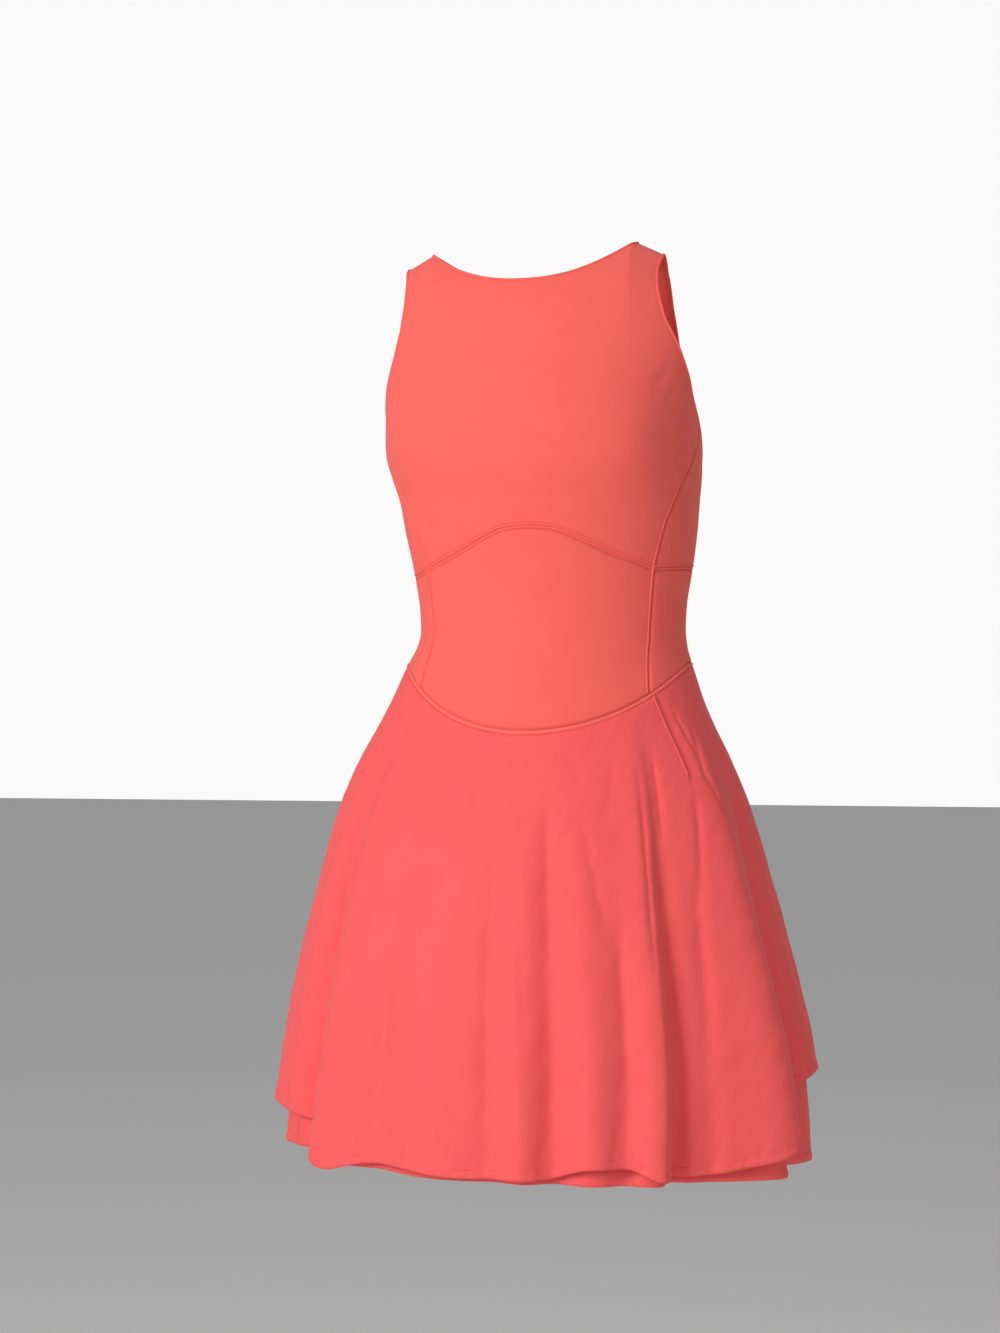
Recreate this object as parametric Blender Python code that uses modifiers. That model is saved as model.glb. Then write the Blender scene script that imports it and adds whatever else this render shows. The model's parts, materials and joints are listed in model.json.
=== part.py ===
"""A sleeveless tennis dress in its worn, hollow form: a fitted princess-cut bodice with an
underbust arch seam, a dropped U-shaped waist seam, and a flared skirt of two layers.

Metres, +Z up, front towards -Y. The origin is midway between the shoulder seams.
A place on the dress is given by theta, the angle round the body in degrees (0 at centre
front, 90 at +X, 180 at centre back), and down, the height below the shoulder seams.
Left and right are the wearer's, so left is +X.
"""
import math

import bpy
import numpy as np

# Driving dimensions
WALL = 0.0015
SEAM_GAP = 0.0003
LAYER_GAP = 0.0007
LEAST_DEPTH_SHARE = 0.2
OUTER_TUCK = 0.0006
INNER_TUCK = 0.003
SHOULDER_SLOPE = math.tan(math.radians(27.0))
STRAP_INNER_X = 0.091
STRAP_SLOPE_START_X = 0.088
SHOULDER_FADE = (0.020, 0.100)
SHOULDER_ROLL = 0.03
ROLL_FADE = (0.020, 0.200)
BUST_FULLNESS = 0.005
BUST_CENTRE = (38.0, 0.180)
BUST_SPREAD = (17.0, 0.032)
SIDE_SEAM = 72.0
SIDE_CENTRE = 90.0
BACK_CENTRE = 180.0
WAIST_SEAM_SIDE = 0.365
WAIST_SEAM_FRONT_DIP = 0.058
WAIST_SEAM_FRONT_POWERS = (2.3, 1.85)
WAIST_SEAM_BACK_DIP = 0.012
HEM_LEVEL = 0.787
INNER_HEM_TILT = 0.004
INNER_FOLD_SHARE = 0.75
INNER_HEM_INSET = 0.008

# Level cross-sections of the whole dress: ellipses whose front and back halves differ
SECTIONS = (
    # down, centre_x, half_width, front_depth, back_depth, squareness
    (0.000, 0.0000, 0.1370, 0.000, 0.000, 2.10),
    (0.003, 0.0000, 0.1380, 0.012, 0.012, 2.10),
    (0.008, 0.0003, 0.1390, 0.023, 0.022, 2.10),
    (0.015, 0.0007, 0.1400, 0.034, 0.031, 2.10),
    (0.025, 0.0015, 0.1405, 0.047, 0.041, 2.10),
    (0.036, 0.0027, 0.1410, 0.058, 0.050, 2.15),
    (0.050, 0.0043, 0.1410, 0.068, 0.058, 2.15),
    (0.070, 0.0066, 0.1410, 0.079, 0.067, 2.20),
    (0.100, 0.0095, 0.1395, 0.093, 0.077, 2.20),
    (0.140, 0.0076, 0.1372, 0.110, 0.086, 2.20),
    (0.175, 0.0080, 0.1373, 0.118, 0.089, 2.20),
    (0.195, 0.0102, 0.1355, 0.117, 0.088, 2.20),
    (0.225, 0.0135, 0.1300, 0.109, 0.084, 2.15),
    (0.250, 0.0147, 0.1270, 0.102, 0.081, 2.10),
    (0.285, 0.0160, 0.1213, 0.094, 0.077, 2.00),
    (0.315, 0.0160, 0.1165, 0.089, 0.076, 2.00),
    (0.335, 0.0160, 0.1155, 0.088, 0.077, 2.00),
    (0.350, 0.0150, 0.1180, 0.089, 0.080, 2.00),
    (0.366, 0.0130, 0.1245, 0.090, 0.086, 2.00),
    (0.400, 0.0105, 0.1380, 0.096, 0.099, 2.00),
    (0.423, 0.0090, 0.1490, 0.101, 0.109, 2.00),
    (0.450, 0.0077, 0.1630, 0.112, 0.120, 2.00),
    (0.500, 0.0065, 0.1825, 0.133, 0.141, 2.00),
    (0.550, 0.0070, 0.1955, 0.150, 0.158, 2.00),
    (0.600, 0.0082, 0.2070, 0.164, 0.171, 2.00),
    (0.650, 0.0098, 0.2170, 0.175, 0.181, 2.00),
    (0.700, 0.0120, 0.2245, 0.184, 0.189, 2.00),
    (0.750, 0.0125, 0.2290, 0.190, 0.195, 2.00),
    (0.800, 0.0125, 0.2320, 0.194, 0.199, 2.00),
)

# Edges and seams, each from its top end down
FRONT_ARMHOLE = (
    # down, theta
    (0.0127, 53.5), (0.037, 50.0), (0.070, 52.5), (0.090, 58.5),
    (0.108, 65.5), (0.125, 73.5), (0.140, 79.0), (0.160, 88.0),
)
BACK_ARMHOLE = (
    # down, theta
    (0.0127, 126.5), (0.037, 128.5), (0.070, 129.5), (0.100, 129.0),
    (0.130, 127.0), (0.160, 124.0),
)
UNDERARM = (
    # theta, down
    (88.0, 0.160), (97.0, 0.181), (106.0, 0.192), (115.0, 0.183), (124.0, 0.160),
)
FRONT_PRINCESS = (
    # down, theta
    (0.160, 88.0), (0.175, 84.0), (0.190, 77.5), (0.206, 70.0), (0.2235, 64.0),
    (0.2495, 57.2), (0.274, 54.3), (0.284, 53.6), (0.312, 54.3), (0.340, 53.7),
    (0.368, 50.0), (0.386, 48.2),
)
BACK_PRINCESS = (
    # down, theta
    (0.160, 124.0), (0.190, 126.5), (0.225, 132.0), (0.255, 136.0), (0.284, 138.0),
    (0.320, 138.0), (0.372, 136.0),
)
FRONT_ARCH_CORNER = (0.284, 53.6)
BACK_ARCH_CORNER = (0.284, 138.0)
ARCH_SEAM = (
    # theta from -180 to 180, down
    (-180.0, 0.2830), (-138.0, 0.2840), (-110.0, 0.2880), (-75.0, 0.2885), (-53.6, 0.2840),
    (-47.0, 0.2800), (-38.0, 0.2750), (-27.0, 0.2670), (-18.5, 0.2590), (-13.5, 0.2545),
    (-9.0, 0.2512), (0.0, 0.2493), (9.0, 0.2512), (13.5, 0.2545), (18.5, 0.2590),
    (27.0, 0.2670), (38.0, 0.2750), (47.0, 0.2800), (53.6, 0.2840), (75.0, 0.2820),
    (110.0, 0.2815), (138.0, 0.2840), (180.0, 0.2830),
)
FRONT_NECKLINE = (
    # x, down
    (0.000, 0.0360), (0.010, 0.0358), (0.020, 0.0349), (0.030, 0.0333), (0.040, 0.0308),
    (0.050, 0.0272), (0.060, 0.0227), (0.070, 0.0170), (0.078, 0.0117), (0.085, 0.0064),
    (0.091, 0.0015),
)
BACK_NECKLINE = (
    # x, down
    (0.000, 0.0300), (0.010, 0.0298), (0.020, 0.0291), (0.030, 0.0278), (0.040, 0.0257),
    (0.050, 0.0229), (0.060, 0.0191), (0.070, 0.0145), (0.078, 0.0101), (0.085, 0.0056),
    (0.091, 0.0015),
)
OUTER_HEM = (
    # theta from -180 to 180, down
    (-180.0, 0.784), (-130.0, 0.778), (-108.0, 0.754), (-92.0, 0.740), (-82.0, 0.745),
    (-74.0, 0.751), (-65.0, 0.757), (-58.0, 0.768), (-52.0, 0.783), (-44.0, 0.788),
    (-34.0, 0.780), (-24.0, 0.778), (-8.0, 0.783), (8.0, 0.783), (18.0, 0.773),
    (25.5, 0.774), (32.5, 0.784), (46.0, 0.782), (52.0, 0.778), (59.0, 0.773),
    (66.0, 0.761), (71.0, 0.746), (80.0, 0.726), (93.0, 0.713), (108.0, 0.730),
    (130.0, 0.768), (180.0, 0.784),
)

# Folds of the skirt: each is a rounded ridge (height above zero) or trough that starts at
# its own level, grows to its full height at the hem, and may drift round on the way down
SKIRT_FOLDS = (
    # theta at its start, theta at the hem, width_before, width_after, height, start
    (-165.0, -165.0, 8.0, 7.0, -0.010, 0.46), (-150.0, -150.0, 7.0, 8.0, 0.011, 0.44),
    (-135.0, -135.0, 6.0, 5.0, -0.013, 0.48), (-121.0, -121.0, 7.0, 7.0, 0.009, 0.45),
    (-106.0, -106.0, 5.0, 6.0, -0.010, 0.50), (-81.0, -81.0, 9.0, 7.0, 0.015, 0.54),
    (-49.0, -60.5, 6.0, 4.5, -0.032, 0.39), (-39.0, -47.0, 5.0, 8.0, 0.006, 0.42),
    (-29.0, -31.5, 5.0, 6.0, -0.010, 0.52), (-16.0, -16.0, 7.0, 6.0, 0.006, 0.50),
    (-3.0, -3.0, 4.0, 4.0, -0.006, 0.52), (3.5, 3.5, 4.0, 3.5, 0.004, 0.50),
    (10.0, 10.0, 4.0, 5.0, -0.012, 0.47), (18.5, 18.0, 5.0, 5.0, 0.007, 0.46),
    (27.5, 25.0, 3.5, 3.0, -0.006, 0.54), (37.0, 32.0, 6.0, 2.2, 0.012, 0.41),
    (41.5, 36.4, 2.4, 4.0, -0.016, 0.42), (47.0, 44.0, 4.0, 3.5, -0.006, 0.45),
    (63.0, 63.0, 10.0, 6.0, 0.028, 0.40), (77.0, 77.0, 5.0, 5.5, -0.022, 0.42),
    (93.0, 93.0, 8.0, 9.0, 0.009, 0.40), (109.0, 109.0, 6.0, 5.0, -0.011, 0.50),
    (123.0, 123.0, 7.0, 6.0, 0.010, 0.46), (137.0, 137.0, 5.0, 6.0, -0.012, 0.48),
    (151.0, 151.0, 7.0, 7.0, 0.010, 0.44), (166.0, 166.0, 6.0, 7.0, -0.009, 0.50),
    (180.0, 180.0, 6.0, 7.0, 0.010, 0.45),
)

# Mesh steps along the panels' edges
SIDE_STEPS = 8
PRINCESS_STEPS = 6
ARMHOLE_STEPS = 9
NECK_STEPS = 14
STRAP_STEPS = 3
MIDRIFF_STEPS = 5
SKIRT_FRONT_STEPS = 48
SKIRT_BACK_STEPS = 52
SKIRT_ROWS = 9
ROW_CROWDING = 1.35
HEM_SAMPLES = 1441

# Finishes
KNIT = ("brushed_knit", (1.00, 0.135, 0.110, 1.0), 0.85)
WOVEN = ("light_woven", (1.00, 0.105, 0.118, 1.0), 0.70)


def smooth(table, key, value=1):
    """Read a table's value column at a key by a smooth curve that never overshoots a row."""
    keys = np.array([row[0] for row in table], dtype=float)
    values = np.array([row[value] for row in table], dtype=float)
    steps = np.diff(keys)
    rises = np.diff(values) / steps
    slopes = np.concatenate(([rises[0]], np.zeros(len(rises) - 1), [rises[-1]]))
    for i in range(1, len(rises)):
        before, after = rises[i - 1], rises[i]
        if before * after > 0.0:
            slopes[i] = 2.0 * before * after / (before + after)
    key = np.clip(key, keys[0], keys[-1])
    i = np.clip(np.searchsorted(keys, key) - 1, 0, len(steps) - 1)
    t = (key - keys[i]) / steps[i]
    bend = t * t * (3.0 - 2.0 * t)
    lead_in = t * (1.0 - t) ** 2 * steps[i] * slopes[i]
    lead_out = t * t * (t - 1.0) * steps[i] * slopes[i + 1]
    return values[i] * (1.0 - bend) + values[i + 1] * bend + lead_in + lead_out


def ramp(value, start, end):
    """A straight rise from 0 at start to 1 at end, level outside."""
    return np.clip((value - start) / (end - start), 0.0, 1.0)


def bust_lift(theta, down):
    """The soft fullness that the princess seams give the bodice on each side."""
    across = (np.abs(wrapped(theta)) - BUST_CENTRE[0]) / BUST_SPREAD[0]
    along = (down - BUST_CENTRE[1]) / BUST_SPREAD[1]
    return BUST_FULLNESS * np.exp(-across ** 2 - along ** 2)


def form(theta, down, lift=0.0):
    """Points of the dress's inner face, lifted outwards level by a distance."""
    lift = lift + bust_lift(theta, down)
    angle = np.radians(theta)
    centre_x = smooth(SECTIONS, down, 1)
    half_width = smooth(SECTIONS, down, 2)
    power = 2.0 / smooth(SECTIONS, down, 5)
    side = np.sign(np.sin(angle)) * np.abs(np.sin(angle)) ** power
    facing = np.abs(np.cos(angle)) ** power
    x = half_width * side
    slope_drop = SHOULDER_SLOPE * np.maximum(np.abs(x) - STRAP_SLOPE_START_X, 0.0)
    below_ridge = down - slope_drop * (1.0 - ramp(down, *SHOULDER_FADE))
    front = smooth(SECTIONS, below_ridge, 3)
    back = smooth(SECTIONS, below_ridge, 4)
    is_front = np.cos(angle) >= 0.0
    depth = np.where(is_front, front, back)
    y = np.where(is_front, -1.0, 1.0) * depth * facing
    safe_depth = np.maximum(depth, half_width * LEAST_DEPTH_SHARE)
    out_x = np.sin(angle) / half_width
    out_y = -np.cos(angle) / safe_depth
    length = np.hypot(out_x, out_y)
    z = SHOULDER_ROLL * x * (1.0 - ramp(down, *ROLL_FADE)) - down
    return np.stack((centre_x + x + lift * out_x / length, y + lift * out_y / length, z), -1)


def waist_seam(theta):
    """The dropped waist seam: low at centre front, high at the sides."""
    facing = np.cos(np.radians(theta))
    power = np.where(wrapped(theta) < 0.0, *WAIST_SEAM_FRONT_POWERS)
    front = WAIST_SEAM_FRONT_DIP * np.maximum(facing, 0.0) ** power
    back = WAIST_SEAM_BACK_DIP * np.maximum(-facing, 0.0) ** 2
    return WAIST_SEAM_SIDE + front + back


def wrapped(theta):
    """The same angle between -180 and 180."""
    return (theta + 180.0) % 360.0 - 180.0


def fold_lift(theta, down):
    """How far the folds move the outer skirt outwards."""
    lift = np.zeros(np.broadcast(theta, down).shape)
    for theta_high, theta_hem, before, after, height, start in SKIRT_FOLDS:
        fall = ramp(down, start, HEM_LEVEL)
        offset = wrapped(theta - theta_high - (theta_hem - theta_high) * fall)
        width = np.where(offset < 0.0, before, after)
        lift += height * np.exp(-(offset / width) ** 2) * fall
    return lift


def outer_skirt(theta, down):
    return form(theta, down, fold_lift(theta, down))


def inner_skirt(theta, down):
    """The under layer follows the outer one's folds more shallowly, inside it."""
    inset = WALL + LAYER_GAP + INNER_HEM_INSET * ramp(down, 0.40, HEM_LEVEL)
    return form(theta, down, INNER_FOLD_SHARE * fold_lift(theta, down) - inset)


def inner_hem(theta):
    return HEM_LEVEL + INNER_HEM_TILT * np.sin(np.radians(theta))


def outer_hem(theta):
    return smooth(OUTER_HEM, wrapped(theta))


def seam_points(table, top, bottom, steps):
    """(theta, down) points along a seam table that is keyed by down."""
    down = np.linspace(top, bottom, steps + 1)
    return np.stack((smooth(table, down), down), -1)


def level_points(curve, start, end, steps):
    """(theta, down) points along a seam that is given by its level at each theta."""
    theta = np.linspace(start, end, steps + 1)
    return np.stack((theta, curve(theta)), -1)


def arch(theta):
    """The seam under the bust: an arch at centre front, then level round the sides and back."""
    return smooth(ARCH_SEAM, wrapped(theta))


def theta_at(x, down):
    """The front angle whose point on the section lies x beside its centre."""
    share = np.clip(np.abs(x) / smooth(SECTIONS, down, 2), 0.0, 1.0)
    return np.degrees(np.arcsin(share ** (smooth(SECTIONS, down, 5) / 2.0)))


def top_edge(neckline):
    """Half of a bodice's top edge, from its centre out along the neckline and the shoulder."""
    neck_x = STRAP_INNER_X * np.sin(np.radians(np.linspace(0.0, 90.0, NECK_STEPS // 2 + 1)))
    outer_x = float(abs(form(np.array(FRONT_ARMHOLE[0][1]), np.array(FRONT_ARMHOLE[0][0]))[0]))
    strap_x = np.linspace(STRAP_INNER_X, outer_x, STRAP_STEPS + 1)[1:]
    strap_down = SHOULDER_SLOPE * (strap_x - STRAP_SLOPE_START_X)
    x = np.concatenate((neck_x, strap_x))
    down = np.concatenate((smooth(neckline, neck_x), strap_down))
    return np.stack((theta_at(x, down), down), -1)


def both_halves(half):
    """A whole edge from its +theta half, which runs outwards from centre front."""
    return np.concatenate((flipped(half[:0:-1]), half))


def patch(bottom, top, start, end):
    """Fill four (theta, down) edges with a grid of points. start and end run bottom to top."""
    u = np.linspace(0.0, 1.0, len(bottom))[:, None, None]
    v = np.linspace(0.0, 1.0, len(start))[None, :, None]
    across = (1.0 - v) * bottom[:, None] + v * top[:, None]
    along = (1.0 - u) * start[None] + u * end[None]
    low = (1.0 - u) * bottom[0] + u * bottom[-1]
    high = (1.0 - u) * top[0] + u * top[-1]
    return across + along - ((1.0 - v) * low + v * high)


def drawn_in(points, distance):
    """Pull a grid's four edges in by a distance, towards the next row of points."""
    for axis in (0, 1):
        rows = np.moveaxis(points, axis, 0)
        for edge, beside in ((0, 1), (-1, -2)):
            inward = rows[beside] - rows[edge]
            rows[edge] += inward * distance / np.linalg.norm(inward, axis=-1, keepdims=True)
    return points


def cloth_piece(name, points, finish):
    """One sewn piece: a grid of points as an open sheet, thickened outwards into a wall."""
    points = drawn_in(points.copy(), SEAM_GAP / 2.0)
    columns, rows = points.shape[:2]
    faces = []
    for i in range(columns - 1):
        for j in range(rows - 1):
            corner = i * rows + j
            faces.append((corner, corner + rows, corner + rows + 1, corner + 1))
    mesh = bpy.data.meshes.new(name)
    mesh.from_pydata(points.reshape(-1, 3).tolist(), [], faces)
    mesh.shade_smooth()
    piece = bpy.data.objects.new(name, mesh)
    dress.objects.link(piece)
    piece.data.materials.append(material(finish, name))
    wall = piece.modifiers.new("Wall", "SOLIDIFY")
    wall.thickness = WALL
    wall.offset = 1.0
    wall.use_even_offset = True
    return piece


def material(finish, piece_name):
    """The piece's own material."""
    kind, colour, roughness = finish
    made = bpy.data.materials.new(f"{kind}_{piece_name}")
    made.use_nodes = True
    shader = made.node_tree.nodes["Principled BSDF"]
    shader.inputs["Base Color"].default_value = colour
    shader.inputs["Roughness"].default_value = roughness
    shader.inputs["Metallic"].default_value = 0.0
    return made


def flipped(edge, centre=0.0):
    """The same edge or grid mirrored about a line of constant theta."""
    other = edge.copy()
    other[..., 0] = 2.0 * centre - other[..., 0]
    return other


def bodice_front():
    half_top = top_edge(FRONT_NECKLINE)
    steps = len(half_top) - 1
    corner = FRONT_ARCH_CORNER
    seam = seam_points(FRONT_PRINCESS, corner[0], FRONT_PRINCESS[0][0], PRINCESS_STEPS)
    hole = seam_points(FRONT_ARMHOLE, FRONT_ARMHOLE[-1][0], half_top[-1][1], ARMHOLE_STEPS)
    side = np.concatenate((seam, hole[1:]))
    side[-1] = half_top[-1]
    bottom = level_points(arch, -corner[1], corner[1], 2 * steps)
    grid = patch(bottom, both_halves(half_top), flipped(side), side)
    cloth_piece("front_bodice", form(grid[..., 0], grid[..., 1]), KNIT)


def bodice_back():
    half_top = flipped(top_edge(BACK_NECKLINE)[::-1], SIDE_CENTRE)
    steps = len(half_top) - 1
    corner = BACK_ARCH_CORNER
    seam = seam_points(BACK_PRINCESS, corner[0], BACK_PRINCESS[0][0], PRINCESS_STEPS)
    hole = seam_points(BACK_ARMHOLE, BACK_ARMHOLE[-1][0], half_top[0][1], ARMHOLE_STEPS)
    side = np.concatenate((seam, hole[1:]))
    side[-1] = half_top[0]
    far_half = flipped(half_top[:-1][::-1], BACK_CENTRE)
    bottom = level_points(arch, corner[1], 360.0 - corner[1], 2 * steps)
    top = np.concatenate((half_top, far_half))
    grid = patch(bottom, top, side, flipped(side, BACK_CENTRE))
    cloth_piece("back_bodice", form(grid[..., 0], grid[..., 1]), KNIT)


def side_panels():
    """The side of the bodice on each side: an upper piece under the arm and a lower one."""
    corner, back_corner = FRONT_ARCH_CORNER, BACK_ARCH_CORNER
    front_seam = seam_points(FRONT_PRINCESS, corner[0], FRONT_PRINCESS[0][0], PRINCESS_STEPS)
    back_seam = seam_points(BACK_PRINCESS, back_corner[0], BACK_PRINCESS[0][0], PRINCESS_STEPS)
    underarm = level_points(lambda t: smooth(UNDERARM, t), UNDERARM[0][0], UNDERARM[-1][0], SIDE_STEPS)
    for side, sign in (("left", 1.0), ("right", -1.0)):
        belt = level_points(lambda t: arch(sign * t), corner[1], back_corner[1], SIDE_STEPS)
        hip = level_points(
            lambda t: waist_seam(sign * t), FRONT_PRINCESS[-1][1], BACK_PRINCESS[-1][1], SIDE_STEPS)
        front_low = seam_points(FRONT_PRINCESS, hip[0][1], corner[0], MIDRIFF_STEPS)
        back_low = seam_points(BACK_PRINCESS, hip[-1][1], back_corner[0], MIDRIFF_STEPS)
        upper = patch(belt, underarm, front_seam, back_seam)
        lower = patch(hip, belt, front_low, back_low)
        for part_name, grid in (("side_upper", upper), ("side_lower", lower)):
            own = grid if side == "left" else flipped(grid[::-1])
            cloth_piece(f"{part_name}_{side}", form(own[..., 0], own[..., 1]), KNIT)


def midriffs():
    """The shaped band between the arch seam and the waist seam, front and back."""
    half_steps = NECK_STEPS // 2 + STRAP_STEPS
    corner, hip_corner = FRONT_ARCH_CORNER, FRONT_PRINCESS[-1]
    bottom = level_points(waist_seam, -hip_corner[1], hip_corner[1], 2 * half_steps)
    top = level_points(arch, -corner[1], corner[1], 2 * half_steps)
    right = flipped(seam_points(FRONT_PRINCESS, bottom[0][1], corner[0], MIDRIFF_STEPS))
    left = seam_points(FRONT_PRINCESS, bottom[-1][1], corner[0], MIDRIFF_STEPS)
    grid = patch(bottom, top, right, left)
    cloth_piece("front_midriff", form(grid[..., 0], grid[..., 1]), KNIT)

    corner, hip_corner = BACK_ARCH_CORNER, BACK_PRINCESS[-1]
    bottom = level_points(waist_seam, hip_corner[1], 360.0 - hip_corner[1], 2 * half_steps)
    top = level_points(arch, corner[1], 360.0 - corner[1], 2 * half_steps)
    side = seam_points(BACK_PRINCESS, bottom[0][1], corner[0], MIDRIFF_STEPS)
    grid = patch(bottom, top, side, flipped(side, BACK_CENTRE))
    cloth_piece("back_midriff", form(grid[..., 0], grid[..., 1]), KNIT)


def skirt_columns(start, end, steps):
    """Angles that part the hem into equal lengths of cloth, so that folds get more of them."""
    theta = np.linspace(start, end, HEM_SAMPLES)
    edge = outer_skirt(theta, outer_hem(theta))
    length = np.concatenate(([0.0], np.cumsum(np.linalg.norm(np.diff(edge, axis=0), axis=1))))
    return np.interp(np.linspace(0.0, length[-1], steps + 1), length, theta)


def skirt_panel(name, surface, hem, theta, top_tuck):
    theta = theta[:, None]
    share = np.linspace(1.0, 0.0, SKIRT_ROWS + 1)[None, :] ** ROW_CROWDING
    top = waist_seam(theta) + top_tuck
    down = top + (hem(theta) - top) * share
    cloth_piece(name, surface(theta + 0.0 * share, down), WOVEN)


def skirt():
    """Both layers are cut as a front and a back, on the same columns so that they nest."""
    front = skirt_columns(-SIDE_SEAM, SIDE_SEAM, SKIRT_FRONT_STEPS)
    back = skirt_columns(SIDE_SEAM, 360.0 - SIDE_SEAM, SKIRT_BACK_STEPS)
    for side, theta in (("front", front), ("back", back)):
        skirt_panel(f"outer_skirt_{side}", outer_skirt, outer_hem, theta, OUTER_TUCK)
        skirt_panel(f"inner_skirt_{side}", inner_skirt, inner_hem, theta, INNER_TUCK)


for old in list(bpy.data.objects):
    bpy.data.objects.remove(old, do_unlink=True)
dress = bpy.data.collections.new("Tennis dress")
bpy.context.scene.collection.children.link(dress)
bodice_front()
bodice_back()
side_panels()
midriffs()
skirt()
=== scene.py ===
# %% [markdown]
# A tennis dress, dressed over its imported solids
#
# The dress is worn by nobody: its bodice and skirt keep the hollow shape that a wearer gives
# them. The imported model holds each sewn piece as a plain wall. This file lays fine cloth in
# the same place as each wall, then adds what a sewing machine adds: seams, stitches, hems.
#
# Every place on the dress is written with two numbers. theta is the angle round the body in
# degrees, 0 at centre front and 90 at the wearer's left (+X). down is the height in metres
# below the shoulder seams. A function turns the pair into a point in space.

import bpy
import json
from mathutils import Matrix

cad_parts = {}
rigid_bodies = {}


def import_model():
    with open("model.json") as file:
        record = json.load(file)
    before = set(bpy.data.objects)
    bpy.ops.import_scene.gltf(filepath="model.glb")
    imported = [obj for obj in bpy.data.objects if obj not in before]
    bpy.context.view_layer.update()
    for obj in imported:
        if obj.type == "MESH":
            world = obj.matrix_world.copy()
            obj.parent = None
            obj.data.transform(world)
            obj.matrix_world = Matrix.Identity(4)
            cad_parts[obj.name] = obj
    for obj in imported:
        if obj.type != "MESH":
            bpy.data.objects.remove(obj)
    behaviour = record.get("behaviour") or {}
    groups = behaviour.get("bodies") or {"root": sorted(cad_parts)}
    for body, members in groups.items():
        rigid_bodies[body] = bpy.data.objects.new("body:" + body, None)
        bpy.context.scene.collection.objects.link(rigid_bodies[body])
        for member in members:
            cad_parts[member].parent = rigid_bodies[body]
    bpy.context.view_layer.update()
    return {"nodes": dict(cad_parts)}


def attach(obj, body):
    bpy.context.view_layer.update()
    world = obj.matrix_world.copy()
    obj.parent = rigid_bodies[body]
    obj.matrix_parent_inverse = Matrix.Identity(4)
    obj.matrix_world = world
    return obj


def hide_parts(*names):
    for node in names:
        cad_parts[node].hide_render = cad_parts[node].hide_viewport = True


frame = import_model()
print("nodes:", sorted(frame["nodes"]))

# %% Modules and units
import json
import math

import bpy
import numpy as np
from mathutils import Vector

MM = 0.001
for loaded in bpy.data.objects:
    loaded.select_set(False)

# %% [markdown]
# ## The cut of the dress
#
# A pattern cutter would write these tables on card. Each row of SECTIONS is one level
# cross-section of the body of the dress: where its centre lies, half its width, and how far
# it reaches to the front and to the back. The seams are lines drawn on that form.

# %% Cross-sections of the whole dress
SECTIONS = (
    # down, centre_x, half_width, front_depth, back_depth, squareness
    (0.000, 0.0000, 0.1370, 0.000, 0.000, 2.10),
    (0.003, 0.0000, 0.1380, 0.012, 0.012, 2.10),
    (0.008, 0.0003, 0.1390, 0.023, 0.022, 2.10),
    (0.015, 0.0007, 0.1400, 0.034, 0.031, 2.10),
    (0.025, 0.0015, 0.1405, 0.047, 0.041, 2.10),
    (0.036, 0.0027, 0.1410, 0.058, 0.050, 2.15),
    (0.050, 0.0043, 0.1410, 0.068, 0.058, 2.15),
    (0.070, 0.0066, 0.1410, 0.079, 0.067, 2.20),
    (0.100, 0.0095, 0.1395, 0.093, 0.077, 2.20),
    (0.140, 0.0076, 0.1372, 0.110, 0.086, 2.20),
    (0.175, 0.0080, 0.1373, 0.118, 0.089, 2.20),
    (0.195, 0.0102, 0.1355, 0.117, 0.088, 2.20),
    (0.225, 0.0135, 0.1300, 0.109, 0.084, 2.15),
    (0.250, 0.0147, 0.1270, 0.102, 0.081, 2.10),
    (0.285, 0.0160, 0.1213, 0.094, 0.077, 2.00),
    (0.315, 0.0160, 0.1165, 0.089, 0.076, 2.00),
    (0.335, 0.0160, 0.1155, 0.088, 0.077, 2.00),
    (0.350, 0.0150, 0.1180, 0.089, 0.080, 2.00),
    (0.366, 0.0130, 0.1245, 0.090, 0.086, 2.00),
    (0.400, 0.0105, 0.1380, 0.096, 0.099, 2.00),
    (0.423, 0.0090, 0.1490, 0.101, 0.109, 2.00),
    (0.450, 0.0077, 0.1630, 0.112, 0.120, 2.00),
    (0.500, 0.0065, 0.1825, 0.133, 0.141, 2.00),
    (0.550, 0.0070, 0.1955, 0.150, 0.158, 2.00),
    (0.600, 0.0082, 0.2070, 0.164, 0.171, 2.00),
    (0.650, 0.0098, 0.2170, 0.175, 0.181, 2.00),
    (0.700, 0.0120, 0.2245, 0.184, 0.189, 2.00),
    (0.750, 0.0125, 0.2290, 0.190, 0.195, 2.00),
    (0.800, 0.0125, 0.2320, 0.194, 0.199, 2.00),
)
SHOULDER_SLOPE = math.tan(math.radians(27.0))
STRAP_INNER_X = 0.091
STRAP_SLOPE_START_X = 0.088
SHOULDER_FADE = (0.020, 0.100)
SHOULDER_ROLL = 0.03
ROLL_FADE = (0.020, 0.200)
BUST_FULLNESS = 0.005
BUST_CENTRE = (38.0, 0.180)
BUST_SPREAD = (17.0, 0.032)

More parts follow.
